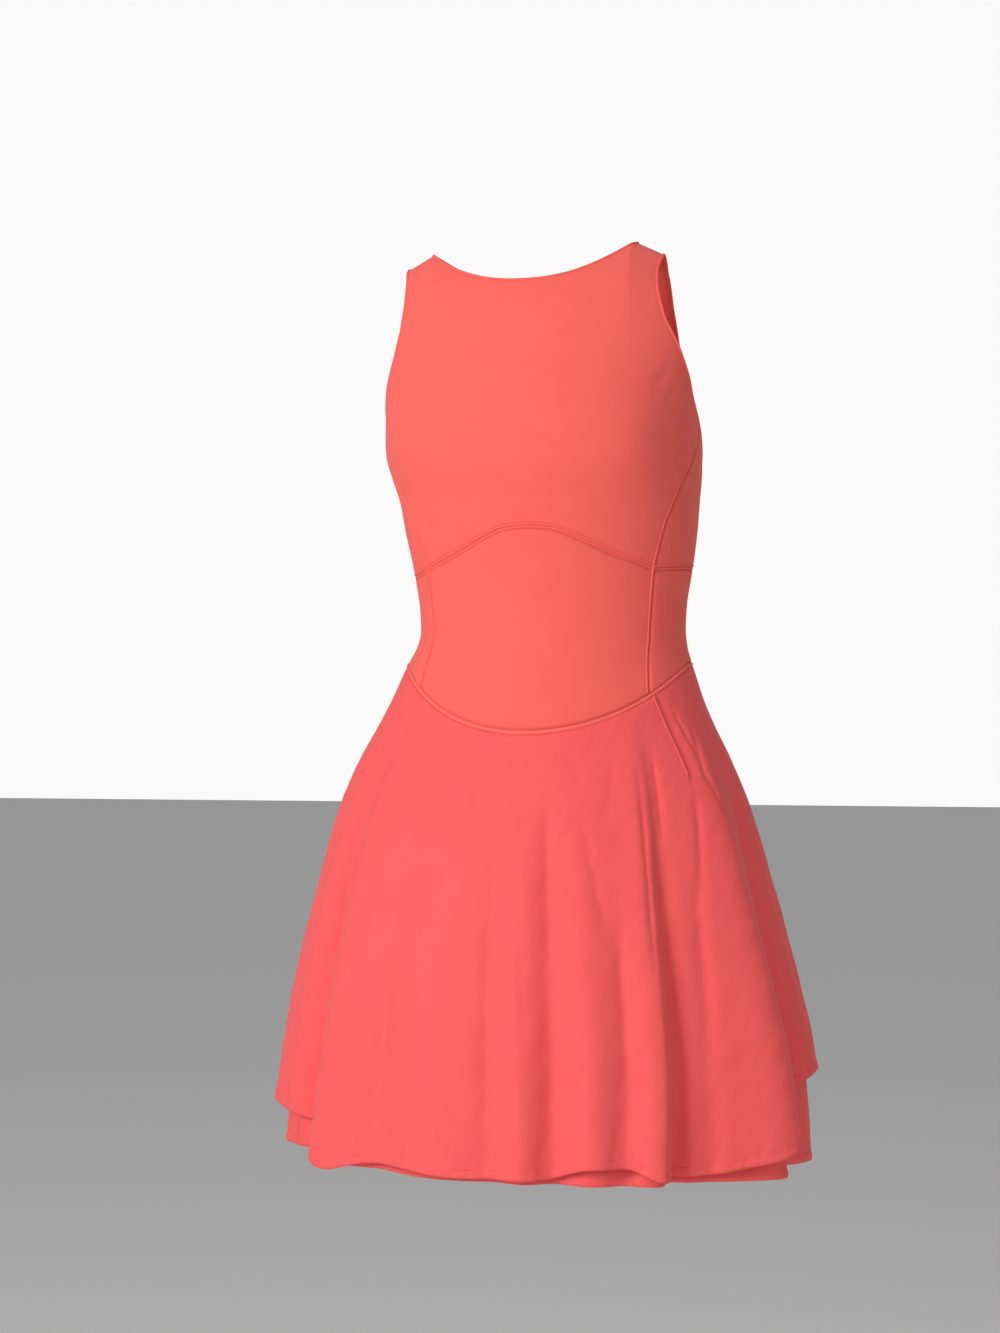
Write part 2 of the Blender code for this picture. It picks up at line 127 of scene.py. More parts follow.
# %% Edges and seams
FRONT_ARMHOLE = (
    # down, theta
    (0.0127, 53.5), (0.037, 50.0), (0.070, 52.5), (0.090, 58.5),
    (0.108, 65.5), (0.125, 73.5), (0.140, 79.0), (0.160, 88.0),
)
BACK_ARMHOLE = (
    # down, theta
    (0.0127, 126.5), (0.037, 128.5), (0.070, 129.5), (0.100, 129.0),
    (0.130, 127.0), (0.160, 124.0),
)
UNDERARM = (
    # theta, down
    (88.0, 0.160), (97.0, 0.181), (106.0, 0.192), (115.0, 0.183), (124.0, 0.160),
)
FRONT_PRINCESS = (
    # down, theta
    (0.160, 88.0), (0.175, 84.0), (0.190, 77.5), (0.206, 70.0), (0.2235, 64.0),
    (0.2495, 57.2), (0.274, 54.3), (0.284, 53.6), (0.312, 54.3), (0.340, 53.7),
    (0.368, 50.0), (0.386, 48.2),
)
BACK_PRINCESS = (
    # down, theta
    (0.160, 124.0), (0.190, 126.5), (0.225, 132.0), (0.255, 136.0), (0.284, 138.0),
    (0.320, 138.0), (0.372, 136.0),
)
ARCH_SEAM = (
    # theta from -180 to 180, down
    (-180.0, 0.2830), (-138.0, 0.2840), (-110.0, 0.2880), (-75.0, 0.2885), (-53.6, 0.2840),
    (-47.0, 0.2800), (-38.0, 0.2750), (-27.0, 0.2670), (-18.5, 0.2590), (-13.5, 0.2545),
    (-9.0, 0.2512), (0.0, 0.2493), (9.0, 0.2512), (13.5, 0.2545), (18.5, 0.2590),
    (27.0, 0.2670), (38.0, 0.2750), (47.0, 0.2800), (53.6, 0.2840), (75.0, 0.2820),
    (110.0, 0.2815), (138.0, 0.2840), (180.0, 0.2830),
)
FRONT_NECKLINE = (
    # x, down
    (0.000, 0.0360), (0.010, 0.0358), (0.020, 0.0349), (0.030, 0.0333), (0.040, 0.0308),
    (0.050, 0.0272), (0.060, 0.0227), (0.070, 0.0170), (0.078, 0.0117), (0.085, 0.0064),
    (0.091, 0.0015),
)
BACK_NECKLINE = (
    # x, down
    (0.000, 0.0300), (0.010, 0.0298), (0.020, 0.0291), (0.030, 0.0278), (0.040, 0.0257),
    (0.050, 0.0229), (0.060, 0.0191), (0.070, 0.0145), (0.078, 0.0101), (0.085, 0.0056),
    (0.091, 0.0015),
)
ARCH_CORNER = 53.6
BACK_ARCH_CORNER = 138.0
HIP_CORNER = 48.2
BACK_HIP_CORNER = 136.0
ARCH_CORNER_DOWN = 0.284
UNDERARM_FRONT = 0.160
SIDE_SEAM = 72.0
SIDE_SIGNS = {"left": 1.0, "right": -1.0}
WAIST_SEAM_SIDE = 0.365
WAIST_SEAM_FRONT_DIP = 0.058
WAIST_SEAM_FRONT_POWERS = (2.3, 1.85)
WAIST_SEAM_BACK_DIP = 0.012
POCKET_EDGES = {
    # side: rows of down, theta
    "left": ((0.3895, 50.0), (0.404, 51.3), (0.4225, 52.6), (0.440, 53.7), (0.460, 54.6)),
    "right": ((0.3905, -50.0), (0.406, -54.0), (0.4275, -57.0), (0.4425, -59.4), (0.456, -61.5)),
}

# %% Hems of the two skirt layers
HEM_LEVEL = 0.787
INNER_HEM_TILT = 0.004
OUTER_HEM = (
    # theta from -180 to 180, down
    (-180.0, 0.784), (-130.0, 0.778), (-108.0, 0.754), (-92.0, 0.740), (-82.0, 0.745),
    (-74.0, 0.751), (-65.0, 0.757), (-58.0, 0.768), (-52.0, 0.783), (-44.0, 0.788),
    (-34.0, 0.780), (-24.0, 0.778), (-8.0, 0.783), (8.0, 0.783), (18.0, 0.773),
    (25.5, 0.774), (32.5, 0.784), (46.0, 0.782), (52.0, 0.778), (59.0, 0.773),
    (66.0, 0.761), (71.0, 0.746), (80.0, 0.726), (93.0, 0.713), (108.0, 0.730),
    (130.0, 0.768), (180.0, 0.784),
)

# %% Folds of the skirt
SKIRT_FOLDS = (
    # theta at its start, theta at the hem, width_before, width_after, height, start
    (-165.0, -165.0, 8.0, 7.0, -0.010, 0.46), (-150.0, -150.0, 7.0, 8.0, 0.011, 0.44),
    (-135.0, -135.0, 6.0, 5.0, -0.013, 0.48), (-121.0, -121.0, 7.0, 7.0, 0.009, 0.45),
    (-106.0, -106.0, 5.0, 6.0, -0.010, 0.50), (-81.0, -81.0, 9.0, 7.0, 0.015, 0.54),
    (-49.0, -60.5, 6.0, 4.5, -0.032, 0.39), (-39.0, -47.0, 5.0, 8.0, 0.006, 0.42),
    (-29.0, -31.5, 5.0, 6.0, -0.010, 0.52), (-16.0, -16.0, 7.0, 6.0, 0.006, 0.50),
    (-3.0, -3.0, 4.0, 4.0, -0.006, 0.52), (3.5, 3.5, 4.0, 3.5, 0.004, 0.50),
    (10.0, 10.0, 4.0, 5.0, -0.012, 0.47), (18.5, 18.0, 5.0, 5.0, 0.007, 0.46),
    (27.5, 25.0, 3.5, 3.0, -0.006, 0.54), (37.0, 32.0, 6.0, 2.2, 0.012, 0.41),
    (41.5, 36.4, 2.4, 4.0, -0.016, 0.42), (47.0, 44.0, 4.0, 3.5, -0.006, 0.45),
    (63.0, 63.0, 10.0, 6.0, 0.028, 0.40), (77.0, 77.0, 5.0, 5.5, -0.022, 0.42),
    (93.0, 93.0, 8.0, 9.0, 0.009, 0.40), (109.0, 109.0, 6.0, 5.0, -0.011, 0.50),
    (123.0, 123.0, 7.0, 6.0, 0.010, 0.46), (137.0, 137.0, 5.0, 6.0, -0.012, 0.48),
    (151.0, 151.0, 7.0, 7.0, 0.010, 0.44), (166.0, 166.0, 6.0, 7.0, -0.009, 0.50),
    (180.0, 180.0, 6.0, 7.0, 0.010, 0.45),
)
INNER_FOLD_SHARE = 0.75
INNER_HEM_INSET = 0.008
INNER_TOP_INSET = 0.0022


# %% [markdown]
# ## From the tables to points in space
#
# smooth reads a table as a curve that passes through its rows and never overshoots them, so
# a waist stays the narrowest place. form turns an angle and a height into a point, and can
# lift the point outwards, which is how folds are made.

# %% Curves through the tables
def smooth(table, key, value=1):
    """Read a table's value column at a key by a smooth curve that never overshoots a row."""
    keys = np.array([row[0] for row in table], dtype=float)
    values = np.array([row[value] for row in table], dtype=float)
    steps = np.diff(keys)
    rises = np.diff(values) / steps
    slopes = np.concatenate(([rises[0]], np.zeros(len(rises) - 1), [rises[-1]]))
    for i in range(1, len(rises)):
        before, after = rises[i - 1], rises[i]
        if before * after > 0.0:
            slopes[i] = 2.0 * before * after / (before + after)
    key = np.clip(key, keys[0], keys[-1])
    i = np.clip(np.searchsorted(keys, key) - 1, 0, len(steps) - 1)
    t = (key - keys[i]) / steps[i]
    bend = t * t * (3.0 - 2.0 * t)
    lead_in = t * (1.0 - t) ** 2 * steps[i] * slopes[i]
    lead_out = t * t * (t - 1.0) * steps[i] * slopes[i + 1]
    return values[i] * (1.0 - bend) + values[i + 1] * bend + lead_in + lead_out


def ramp(value, start, end):
    """A straight rise from 0 at start to 1 at end, level outside."""
    return np.clip((value - start) / (end - start), 0.0, 1.0)


def wrapped(theta):
    """The same angle between -180 and 180."""
    return (theta + 180.0) % 360.0 - 180.0


# %% The form under the cloth
def bust_lift(theta, down):
    """The soft fullness that the princess seams give the bodice on each side."""
    across = (np.abs(wrapped(theta)) - BUST_CENTRE[0]) / BUST_SPREAD[0]
    along = (down - BUST_CENTRE[1]) / BUST_SPREAD[1]
    return BUST_FULLNESS * np.exp(-across ** 2 - along ** 2)


def form(theta, down, lift=0.0):
    """Points of the dress's inner face, lifted outwards level by a distance."""
    lift = lift + bust_lift(theta, down)
    angle = np.radians(theta)
    centre_x = smooth(SECTIONS, down, 1)
    half_width = smooth(SECTIONS, down, 2)
    power = 2.0 / smooth(SECTIONS, down, 5)
    side = np.sign(np.sin(angle)) * np.abs(np.sin(angle)) ** power
    facing = np.abs(np.cos(angle)) ** power
    x = half_width * side
    slope_drop = SHOULDER_SLOPE * np.maximum(np.abs(x) - STRAP_SLOPE_START_X, 0.0)
    below_ridge = down - slope_drop * (1.0 - ramp(down, *SHOULDER_FADE))
    front = smooth(SECTIONS, below_ridge, 3)
    back = smooth(SECTIONS, below_ridge, 4)
    is_front = np.cos(angle) >= 0.0
    depth = np.where(is_front, front, back)
    y = np.where(is_front, -1.0, 1.0) * depth * facing
    safe_depth = np.maximum(depth, half_width * 0.2)
    out_x = np.sin(angle) / half_width
    out_y = -np.cos(angle) / safe_depth
    length = np.hypot(out_x, out_y)
    z = SHOULDER_ROLL * x * (1.0 - ramp(down, *ROLL_FADE)) - down
    return np.stack((centre_x + x + lift * out_x / length, y + lift * out_y / length, z), -1)


def waist_seam(theta):
    """The dropped waist seam: low at centre front, high at the sides."""
    facing = np.cos(np.radians(theta))
    power = np.where(wrapped(theta) < 0.0, *WAIST_SEAM_FRONT_POWERS)
    front = WAIST_SEAM_FRONT_DIP * np.maximum(facing, 0.0) ** power
    back = WAIST_SEAM_BACK_DIP * np.maximum(-facing, 0.0) ** 2
    return WAIST_SEAM_SIDE + front + back


def arch(theta):
    """The seam under the bust: an arch at centre front, then level round the sides and back."""
    return smooth(ARCH_SEAM, wrapped(theta))


# %% The two skirt layers
def fold_lift(theta, down):
    """How far the folds move the outer skirt outwards."""
    lift = np.zeros(np.broadcast(theta, down).shape)
    for theta_high, theta_hem, before, after, height, start in SKIRT_FOLDS:
        fall = ramp(down, start, HEM_LEVEL)
        offset = wrapped(theta - theta_high - (theta_hem - theta_high) * fall)
        width = np.where(offset < 0.0, before, after)
        lift += height * np.exp(-(offset / width) ** 2) * fall
    return lift


def outer_skirt(theta, down):
    return form(theta, down, fold_lift(theta, down))


def inner_skirt(theta, down):
    """The under layer follows the outer one's folds more shallowly, inside it."""
    inset = INNER_TOP_INSET + INNER_HEM_INSET * ramp(down, 0.40, HEM_LEVEL)
    return form(theta, down, INNER_FOLD_SHARE * fold_lift(theta, down) - inset)


def inner_hem(theta):
    return HEM_LEVEL + INNER_HEM_TILT * np.sin(np.radians(theta))


def outer_hem(theta):
    return smooth(OUTER_HEM, wrapped(theta))


# %% [markdown]
# ## Cloth as a grid of points
#
# A sewn panel has four edges. Blending opposite edges (a Coons patch) fills the panel with a
# grid that follows all four, as a pattern piece follows its seams. The grid is only a thin
# open sheet at this stage. It gets its thickness from Solidify at the end.

# %% Edges of a panel
def seam_points(table, top, bottom, steps):
    """(theta, down) points along a seam table that is keyed by down."""
    down = np.linspace(top, bottom, steps + 1)
    return np.stack((smooth(table, down), down), -1)


def level_points(curve, start, end, steps):
    """(theta, down) points along a seam that is given by its level at each theta."""
    theta = np.linspace(start, end, steps + 1)
    return np.stack((theta, curve(theta)), -1)


def theta_at(x, down):
    """The front angle whose point on the section lies x beside its centre."""
    share = np.clip(np.abs(x) / smooth(SECTIONS, down, 2), 0.0, 1.0)
    return np.degrees(np.arcsin(share ** (smooth(SECTIONS, down, 5) / 2.0)))


def top_edge(neckline, neck_steps, strap_steps):
    """Half of a bodice's top edge, from its centre out along the neckline and the shoulder."""
    neck_x = STRAP_INNER_X * np.sin(np.radians(np.linspace(0.0, 90.0, neck_steps + 1)))
    outer_down, outer_theta = FRONT_ARMHOLE[0]
    outer_x = float(abs(form(np.array(outer_theta), np.array(outer_down))[0]))
    strap_x = np.linspace(STRAP_INNER_X, outer_x, strap_steps + 1)[1:]
    strap_down = SHOULDER_SLOPE * (strap_x - STRAP_SLOPE_START_X)
    x = np.concatenate((neck_x, strap_x))
    down = np.concatenate((smooth(neckline, neck_x), strap_down))
    return np.stack((theta_at(x, down), down), -1)


def flipped(edge, centre=0.0):
    """The same edge or grid mirrored about a line of constant theta."""
    other = edge.copy()
    other[..., 0] = 2.0 * centre - other[..., 0]
    return other


def patch(bottom, top, start, end):
    """Fill four (theta, down) edges with a grid of points. start and end run bottom to top."""
    u = np.linspace(0.0, 1.0, len(bottom))[:, None, None]
    v = np.linspace(0.0, 1.0, len(start))[None, :, None]
    across = (1.0 - v) * bottom[:, None] + v * top[:, None]
    along = (1.0 - u) * start[None] + u * end[None]
    low = (1.0 - u) * bottom[0] + u * bottom[-1]
    high = (1.0 - u) * top[0] + u * top[-1]
    return across + along - ((1.0 - v) * low + v * high)


# %% Lengths and normals of a grid
def run_along(points, axis):
    """Length along a grid's lines in one direction, from its first row of points."""
    step = np.linalg.norm(np.diff(points, axis=axis), axis=-1)
    start = np.zeros_like(np.take(step, [0], axis=axis))
    return np.concatenate((start, np.cumsum(step, axis=axis)), axis=axis)


def drawn_in(grid, surface, start=0.0, end=0.0, bottom=0.0, top=0.0):
    """Shorten a (theta, down) grid at its edges by lengths of cloth, to leave seams room."""
    for axis, near, far in ((0, start, end), (1, bottom, top)):
        length = np.moveaxis(run_along(surface(grid[..., 0], grid[..., 1]), axis), axis, 0)
        lines = np.moveaxis(grid, axis, 0).copy()
        wanted = near + length * (length[-1] - near - far) / length[-1]
        for j in range(lines.shape[1]):
            for k in range(2):
                lines[:, j, k] = np.interp(wanted[:, j], length[:, j], lines[:, j, k])
        grid = np.moveaxis(lines, 0, axis)
    return grid


def unit(vectors):
    """The same directions with a length of 1."""
    return vectors / np.maximum(np.linalg.norm(vectors, axis=-1, keepdims=True), 1e-12)


def grid_normals(points):
    """Outward unit normals of a grid whose columns run to +theta and rows run up."""
    return unit(np.cross(np.gradient(points, axis=0), np.gradient(points, axis=1)))


# %% [markdown]
# ## Creases
#
# Cloth that hangs from a seam has creases of its own size over the large folds. Each is
# given as one row: where it starts and ends, how wide and how deep it is. A soft
# trough follows that line and fades at both ends. The same kind of crease is put on the
# sides and back, because the dress is seen from there as well.

# %% Crease tables
SKIRT_CREASES = (
    # theta, down, end_theta, end_down, width_mm, depth_mm
    (36.6, 0.437, 33.6, 0.640, 4.2, 2.6), (42.8, 0.433, 41.4, 0.520, 3.2, 1.4),
    (39.0, 0.470, 37.0, 0.700, 5.0, 2.2), (55.5, 0.466, 49.5, 0.570, 4.5, 1.8),
    (50.0, 0.520, 46.0, 0.700, 6.0, 2.0), (60.0, 0.440, 66.0, 0.500, 4.0, 1.2),
    (57.5, 0.400, 63.0, 0.455, 3.5, 1.0), (66.0, 0.410, 60.0, 0.470, 4.5, 1.1),
    (9.5, 0.470, 10.2, 0.640, 6.0, 2.2), (10.5, 0.600, 9.6, 0.770, 7.0, 2.0),
    (-4.0, 0.520, -4.2, 0.760, 5.0, 1.6), (3.0, 0.560, 5.0, 0.740, 4.5, 0.9),
    (18.0, 0.480, 24.0, 0.600, 5.0, 1.2), (26.5, 0.560, 25.4, 0.750, 4.5, 1.6),
    (-29.0, 0.580, -31.5, 0.775, 6.5, 2.0), (-22.0, 0.520, -20.0, 0.640, 5.0, 0.9),
    (-38.0, 0.470, -41.5, 0.660, 6.0, 1.3), (-46.0, 0.430, -52.0, 0.500, 4.0, 1.0),
    (-56.0, 0.480, -57.5, 0.700, 5.0, 1.8), (-12.0, 0.440, -8.0, 0.520, 6.0, 0.7),
    (14.0, 0.440, 20.0, 0.470, 5.0, 0.6), (-26.0, 0.450, -16.0, 0.500, 7.0, 0.6),
    (30.0, 0.440, 24.0, 0.500, 5.0, 0.8), (-66.0, 0.400, -72.0, 0.470, 4.5, 1.1),
    (-76.0, 0.560, -79.0, 0.730, 6.0, 1.4), (76.0, 0.400, 84.0, 0.480, 5.0, 1.2),
    (88.0, 0.520, 91.0, 0.690, 6.0, 1.4), (70.0, 0.560, 72.0, 0.720, 5.0, 1.6),
    (110.0, 0.420, 106.0, 0.560, 5.5, 1.3), (124.0, 0.480, 128.0, 0.720, 6.0, 1.5),
    (138.0, 0.440, 140.0, 0.640, 5.0, 1.6), (152.0, 0.500, 158.0, 0.740, 6.0, 1.2),
    (168.0, 0.430, 164.0, 0.600, 5.5, 1.5), (178.0, 0.560, 181.0, 0.760, 6.0, 1.1),
    (-170.0, 0.450, -166.0, 0.620, 5.0, 1.4), (-154.0, 0.480, -158.0, 0.700, 6.0, 1.2),
    (-138.0, 0.440, -134.0, 0.600, 5.0, 1.5), (-122.0, 0.520, -126.0, 0.740, 6.0, 1.2),
    (-104.0, 0.430, -108.0, 0.600, 5.5, 1.4), (-90.0, 0.420, -94.0, 0.500, 4.5, 1.0),
)
BODICE_CREASES = (
    # theta, down, end_theta, end_down, width_mm, depth_mm
    (60.0, 0.118, 47.0, 0.132, 5.0, 0.7), (66.0, 0.132, 54.0, 0.146, 4.5, 0.6),
    (58.0, 0.105, 50.0, 0.150, 6.0, 0.5), (-62.0, 0.120, -50.0, 0.134, 6.0, 0.5),
    (72.0, 0.300, 84.0, 0.318, 5.0, 0.6), (80.0, 0.330, 66.0, 0.345, 5.0, 0.7),
    (-70.0, 0.335, -84.0, 0.350, 5.0, 0.7), (100.0, 0.305, 118.0, 0.320, 6.0, 0.7),
    (-100.0, 0.300, -122.0, 0.322, 6.0, 0.8), (150.0, 0.310, 176.0, 0.318, 7.0, 1.0),
    (-150.0, 0.322, -178.0, 0.334, 7.0, 1.0), (160.0, 0.340, 186.0, 0.350, 6.0, 0.8),
    (132.0, 0.170, 146.0, 0.200, 6.0, 0.6), (-134.0, 0.172, -148.0, 0.198, 6.0, 0.6),
)


# %% One trough at a time
def crease_depth(creases, theta, down, radius):
    """How far the creases push the cloth inwards at each point."""
    total = np.zeros(np.broadcast(theta, down).shape)
    for from_theta, from_down, to_theta, to_down, width, depth in creases:
        run_x = np.radians(wrapped(to_theta - from_theta)) * radius
        run_y = to_down - from_down
        length = np.hypot(run_x, run_y)
        x = np.radians(wrapped(theta - from_theta)) * radius
        y = down - from_down
        along = (x * run_x + y * run_y) / length ** 2
        aside = (x * run_y - y * run_x) / length
        fade = np.exp(-((along - 0.5) / 0.36) ** 4)
        total += depth * MM * fade * np.exp(-(aside / (width * MM)) ** 2)
    return total


# %% [markdown]
# Between the placed creases, light cloth is never quite flat. A few low waves of different
# lengths, crossed at odd angles, give that unevenness. They are sums of sines, so they are
# the same on every run.

# %% A low, uneven ripple
def ripple(across, along, scale):
    """Uneven low relief from -1 to 1. across and along are lengths on the cloth in metres."""
    x, y = across / scale, along / scale
    return (
        0.40 * np.sin(1.7 * x + 0.6 * y + 1.3 * np.sin(0.9 * y + 0.4))
        + 0.30 * np.sin(0.8 * x - 1.9 * y + 1.1 * np.sin(1.3 * x + 2.0))
        + 0.30 * np.sin(2.9 * x + 1.1 * y + 1.7 * np.sin(0.7 * x - 1.1 * y))
    )


# %% [markdown]
# ## Colour and surface
#
# The bodice is a brushed stretch knit: matt, slightly fuzzy, so its edges catch a soft
# sheen. The skirt is a smooth light woven cloth, a little pinker. Both read their fine
# pattern from the UV map, which is laid out in metres along the cloth, so the wales and
# threads follow every fold.

# %% Nodes of a cloth
SHEEN_ROUGHNESS = 0.45
SPECULAR_LEVEL = 0.25
FIBRE_SCALE = 900.0
FIBRE_SHARE = 0.35
# Blender's wave texture turns by 20 radians for each unit of its scale.
WAVE_RADIANS = 20.0


def add_node(tree, kind, **settings):
    node = tree.nodes.new(kind)
    for name, value in settings.items():
        setattr(node, name, value)
    return node


def add_noise(tree, uv, scale, detail):
    noise = add_node(tree, "ShaderNodeTexNoise")
    noise.inputs["Scale"].default_value = scale
    noise.inputs["Detail"].default_value = detail
    tree.links.new(uv.outputs["UV"], noise.inputs["Vector"])
    return noise


def add_mix(tree, share, first, second):
    """One texture with a share of another in it."""
    mixed = add_node(tree, "ShaderNodeMix", data_type="FLOAT")
    mixed.inputs["Factor"].default_value = share
    tree.links.new(first.outputs["Fac"], mixed.inputs["A"])
    tree.links.new(second.outputs["Fac"], mixed.inputs["B"])
    return mixed


def cloth_material(name, colours, roughness, sheen, thread_mm, bump_mm, mottling):
    """A woven or knitted finish: two close tones, fine thread relief, soft mottling."""
    made = bpy.data.materials.new(name)
    made.use_nodes = True
    tree = made.node_tree
    shader = tree.nodes["Principled BSDF"]
    shader.inputs["Roughness"].default_value = roughness
    shader.inputs["Sheen Weight"].default_value = sheen
    shader.inputs["Sheen Roughness"].default_value = SHEEN_ROUGHNESS
    shader.inputs["Specular IOR Level"].default_value = SPECULAR_LEVEL
    uv = add_node(tree, "ShaderNodeUVMap", uv_map="UVMap")

    patches = add_noise(tree, uv, mottling, 3.0)
    fibres = add_noise(tree, uv, FIBRE_SCALE, 2.0)
    both = add_mix(tree, FIBRE_SHARE, patches, fibres)
    tones = add_node(tree, "ShaderNodeValToRGB")
    tones.color_ramp.elements[0].position = 0.30
    tones.color_ramp.elements[0].color = colours[0]
    tones.color_ramp.elements[1].position = 0.70
    tones.color_ramp.elements[1].color = colours[1]
    tree.links.new(both.outputs["Result"], tones.inputs["Fac"])
    tree.links.new(tones.outputs["Color"], shader.inputs["Base Color"])

    threads = []
    for direction in ("X", "Y"):
        wave = add_node(tree, "ShaderNodeTexWave", bands_direction=direction)
        wave.inputs["Scale"].default_value = 1000.0 / thread_mm / WAVE_RADIANS * math.pi
        wave.inputs["Distortion"].default_value = 0.6
        tree.links.new(uv.outputs["UV"], wave.inputs["Vector"])
        threads.append(wave)
    weave = add_mix(tree, 0.5, *threads)
    relief = add_node(tree, "ShaderNodeBump")
    relief.inputs["Strength"].default_value = 0.5
    relief.inputs["Distance"].default_value = bump_mm * MM
    tree.links.new(weave.outputs["Result"], relief.inputs["Height"])
    tree.links.new(relief.outputs["Normal"], shader.inputs["Normal"])
    return made


# %% The finishes of this dress
KNIT = cloth_material(
    "brushed_knit", ((0.93, 0.130, 0.104, 1.0), (0.95, 0.139, 0.112, 1.0)),
    0.88, 0.12, 0.45, 0.04, 40.0)
WOVEN = cloth_material(
    "light_woven", ((0.92, 0.104, 0.104, 1.0), (0.95, 0.114, 0.112, 1.0)),
    0.70, 0.10, 0.35, 0.035, 30.0)
# The waist seam band is the bodice knit in lighter tones: painted highlight, standing in for the
# light that the raised band catches.
SEAM_KNIT_PAINTED_HIGHLIGHT = cloth_material(
    "seam_knit_painted_highlight", ((0.95, 0.155, 0.128, 1.0), (0.97, 0.170, 0.142, 1.0)),
    0.75, 0.12, 0.40, 0.04, 120.0)
# The stitches are real thread, but their tone is much darker than the cloth: painted shade, so that
# the stitched grooves read as dark lines.
THREAD_PAINTED_SHADE = cloth_material(
    "thread_painted_groove_shade", ((0.66, 0.062, 0.055, 1.0), (0.74, 0.074, 0.066, 1.0)),
    0.60, 0.05, 0.30, 0.03, 400.0)
print("finishes:", [m.name for m in (KNIT, WOVEN, SEAM_KNIT_PAINTED_HIGHLIGHT, THREAD_PAINTED_SHADE)])


# %% [markdown]
# ## Turning a grid into a piece of cloth
#
# The grid becomes a mesh with a UV map in metres and gets a real thickness from Solidify.

# %% Make a sheet
CLOTH_THICKNESS = 0.8 * MM
SEAM_ROLL = 0.3 * MM
SEAM_ROLL_WIDTH = 1.5 * MM
PRINCESS_INSET = 1.0 * MM
BELT_INSET = 2.4 * MM
WAIST_INSET = 2.2 * MM
CLOTH_LIFT = 0.5 * MM


def put_in_scene(name, data):
    """A new object for a mesh, light or camera, linked to the scene."""
    made = bpy.data.objects.new(name, data)
    bpy.context.scene.collection.objects.link(made)
    return made


def set_uv(mesh, layout):
    """Write the UV map, one pair of numbers for each corner of each face."""
    pairs = np.asarray(layout, dtype=np.float32).reshape(-1)
    mesh.uv_layers.new(name="UVMap").data.foreach_set("uv", pairs)


def finish_piece(piece, finish):
    piece.data.materials.clear()
    piece.data.materials.append(finish)
    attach(piece, "root")


def grid_mesh(name, points, across, along):
    """A mesh of quads from a grid, with a UV map in metres."""
    columns, rows = points.shape[:2]
    corner = (np.arange(columns - 1)[:, None] * rows + np.arange(rows - 1)[None, :]).ravel()
    faces = np.stack((corner, corner + rows, corner + rows + 1, corner + 1), -1)
    mesh = bpy.data.meshes.new(name)
    mesh.vertices.add(columns * rows)
    mesh.vertices.foreach_set("co", points.reshape(-1).astype(np.float32))
    mesh.loops.add(faces.size)
    mesh.loops.foreach_set("vertex_index", faces.reshape(-1).astype(np.int32))
    mesh.polygons.add(len(faces))
    mesh.polygons.foreach_set("loop_start", np.arange(0, faces.size, 4, dtype=np.int32))
    mesh.update(calc_edges=True)
    mesh.validate()
    set_uv(mesh, np.stack((across, along), -1).reshape(-1, 2)[faces.reshape(-1)])
    mesh.shade_smooth()
    return mesh


def apply_modifiers(piece):
    bpy.context.view_layer.objects.active = piece
    for modifier in list(piece.modifiers):
        bpy.ops.object.modifier_apply(modifier=modifier.name)


def cloth(name, nodes, points, finish, rolled=(True, True, True, True)):
    """One piece of cloth. rolled says which edges dip into a seam: start, end, bottom, top."""
    across = run_along(points, 0)
    along = run_along(points, 1)
    from_edges = (across, across[-1:] - across, along, along[:, -1:] - along)
    dip = np.zeros(points.shape[:2])
    for is_rolled, distance in zip(rolled, from_edges):
        if is_rolled:
            dip = np.maximum(dip, SEAM_ROLL * np.exp(-(distance / SEAM_ROLL_WIDTH) ** 2))
    shaped = points - grid_normals(points) * dip[..., None]
    piece = put_in_scene(name, grid_mesh(name, shaped, across, along))
    wall = piece.modifiers.new("Cloth thickness", "SOLIDIFY")
    wall.thickness = CLOTH_THICKNESS
    wall.offset = 1.0
    apply_modifiers(piece)
    finish_piece(piece, finish)
    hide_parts(*nodes)
    return piece


# %% [markdown]
# ## The bodice
#
# The front bodice runs from the neckline down to the arched seam under the bust. Its sides
# are the armhole and, below it, the princess seam, which is the curved seam that shapes the
# bust. A grid step of about 2.5 mm is fine enough for the soft creases beside the bust.

# %% Bodice surfaces
BODICE_RADIUS = 0.125


def bodice_surface(grid):
    """The knit lies smoothly on the form, with faint creases and hardly any ripple."""
    theta, down = grid[..., 0], grid[..., 1]
    depth = crease_depth(BODICE_CREASES, theta, down, BODICE_RADIUS)
    uneven = ripple(np.radians(theta) * BODICE_RADIUS, down, 0.022) * 0.12 * MM
    points = form(theta, down, CLOTH_LIFT)
    return points + grid_normals(points) * (uneven - depth)[..., None]


NECK_STEPS, STRAP_STEPS = 46, 12
PRINCESS_STEPS, ARMHOLE_STEPS = 50, 66
MIDRIFF_STEPS, SIDE_STEPS = 42, 40


def princess_inset(rows):
    """Room for the princess seam, none along the armhole above it."""
    return PRINCESS_INSET * ramp(np.arange(rows), PRINCESS_STEPS + 4, PRINCESS_STEPS)


def knit_piece(node, grid, **room):
    grid = drawn_in(grid, form, **room)
    return cloth(f"{node}_cloth", [node], bodice_surface(grid), KNIT)


def bodice_side(princess, armhole, shoulder):
    """A bodice's side edge: up the princess seam, then up the armhole to the shoulder."""
    seam = seam_points(princess, ARCH_CORNER_DOWN, UNDERARM_FRONT, PRINCESS_STEPS)
    hole = seam_points(armhole, UNDERARM_FRONT, shoulder[1], ARMHOLE_STEPS)
    return np.concatenate((seam, hole[1:-1], [shoulder]))


def bodice(node, bottom, top, first, last):
    room = princess_inset(len(first))
    return knit_piece(node, patch(bottom, top, first, last),
                      start=room, end=room, bottom=BELT_INSET)


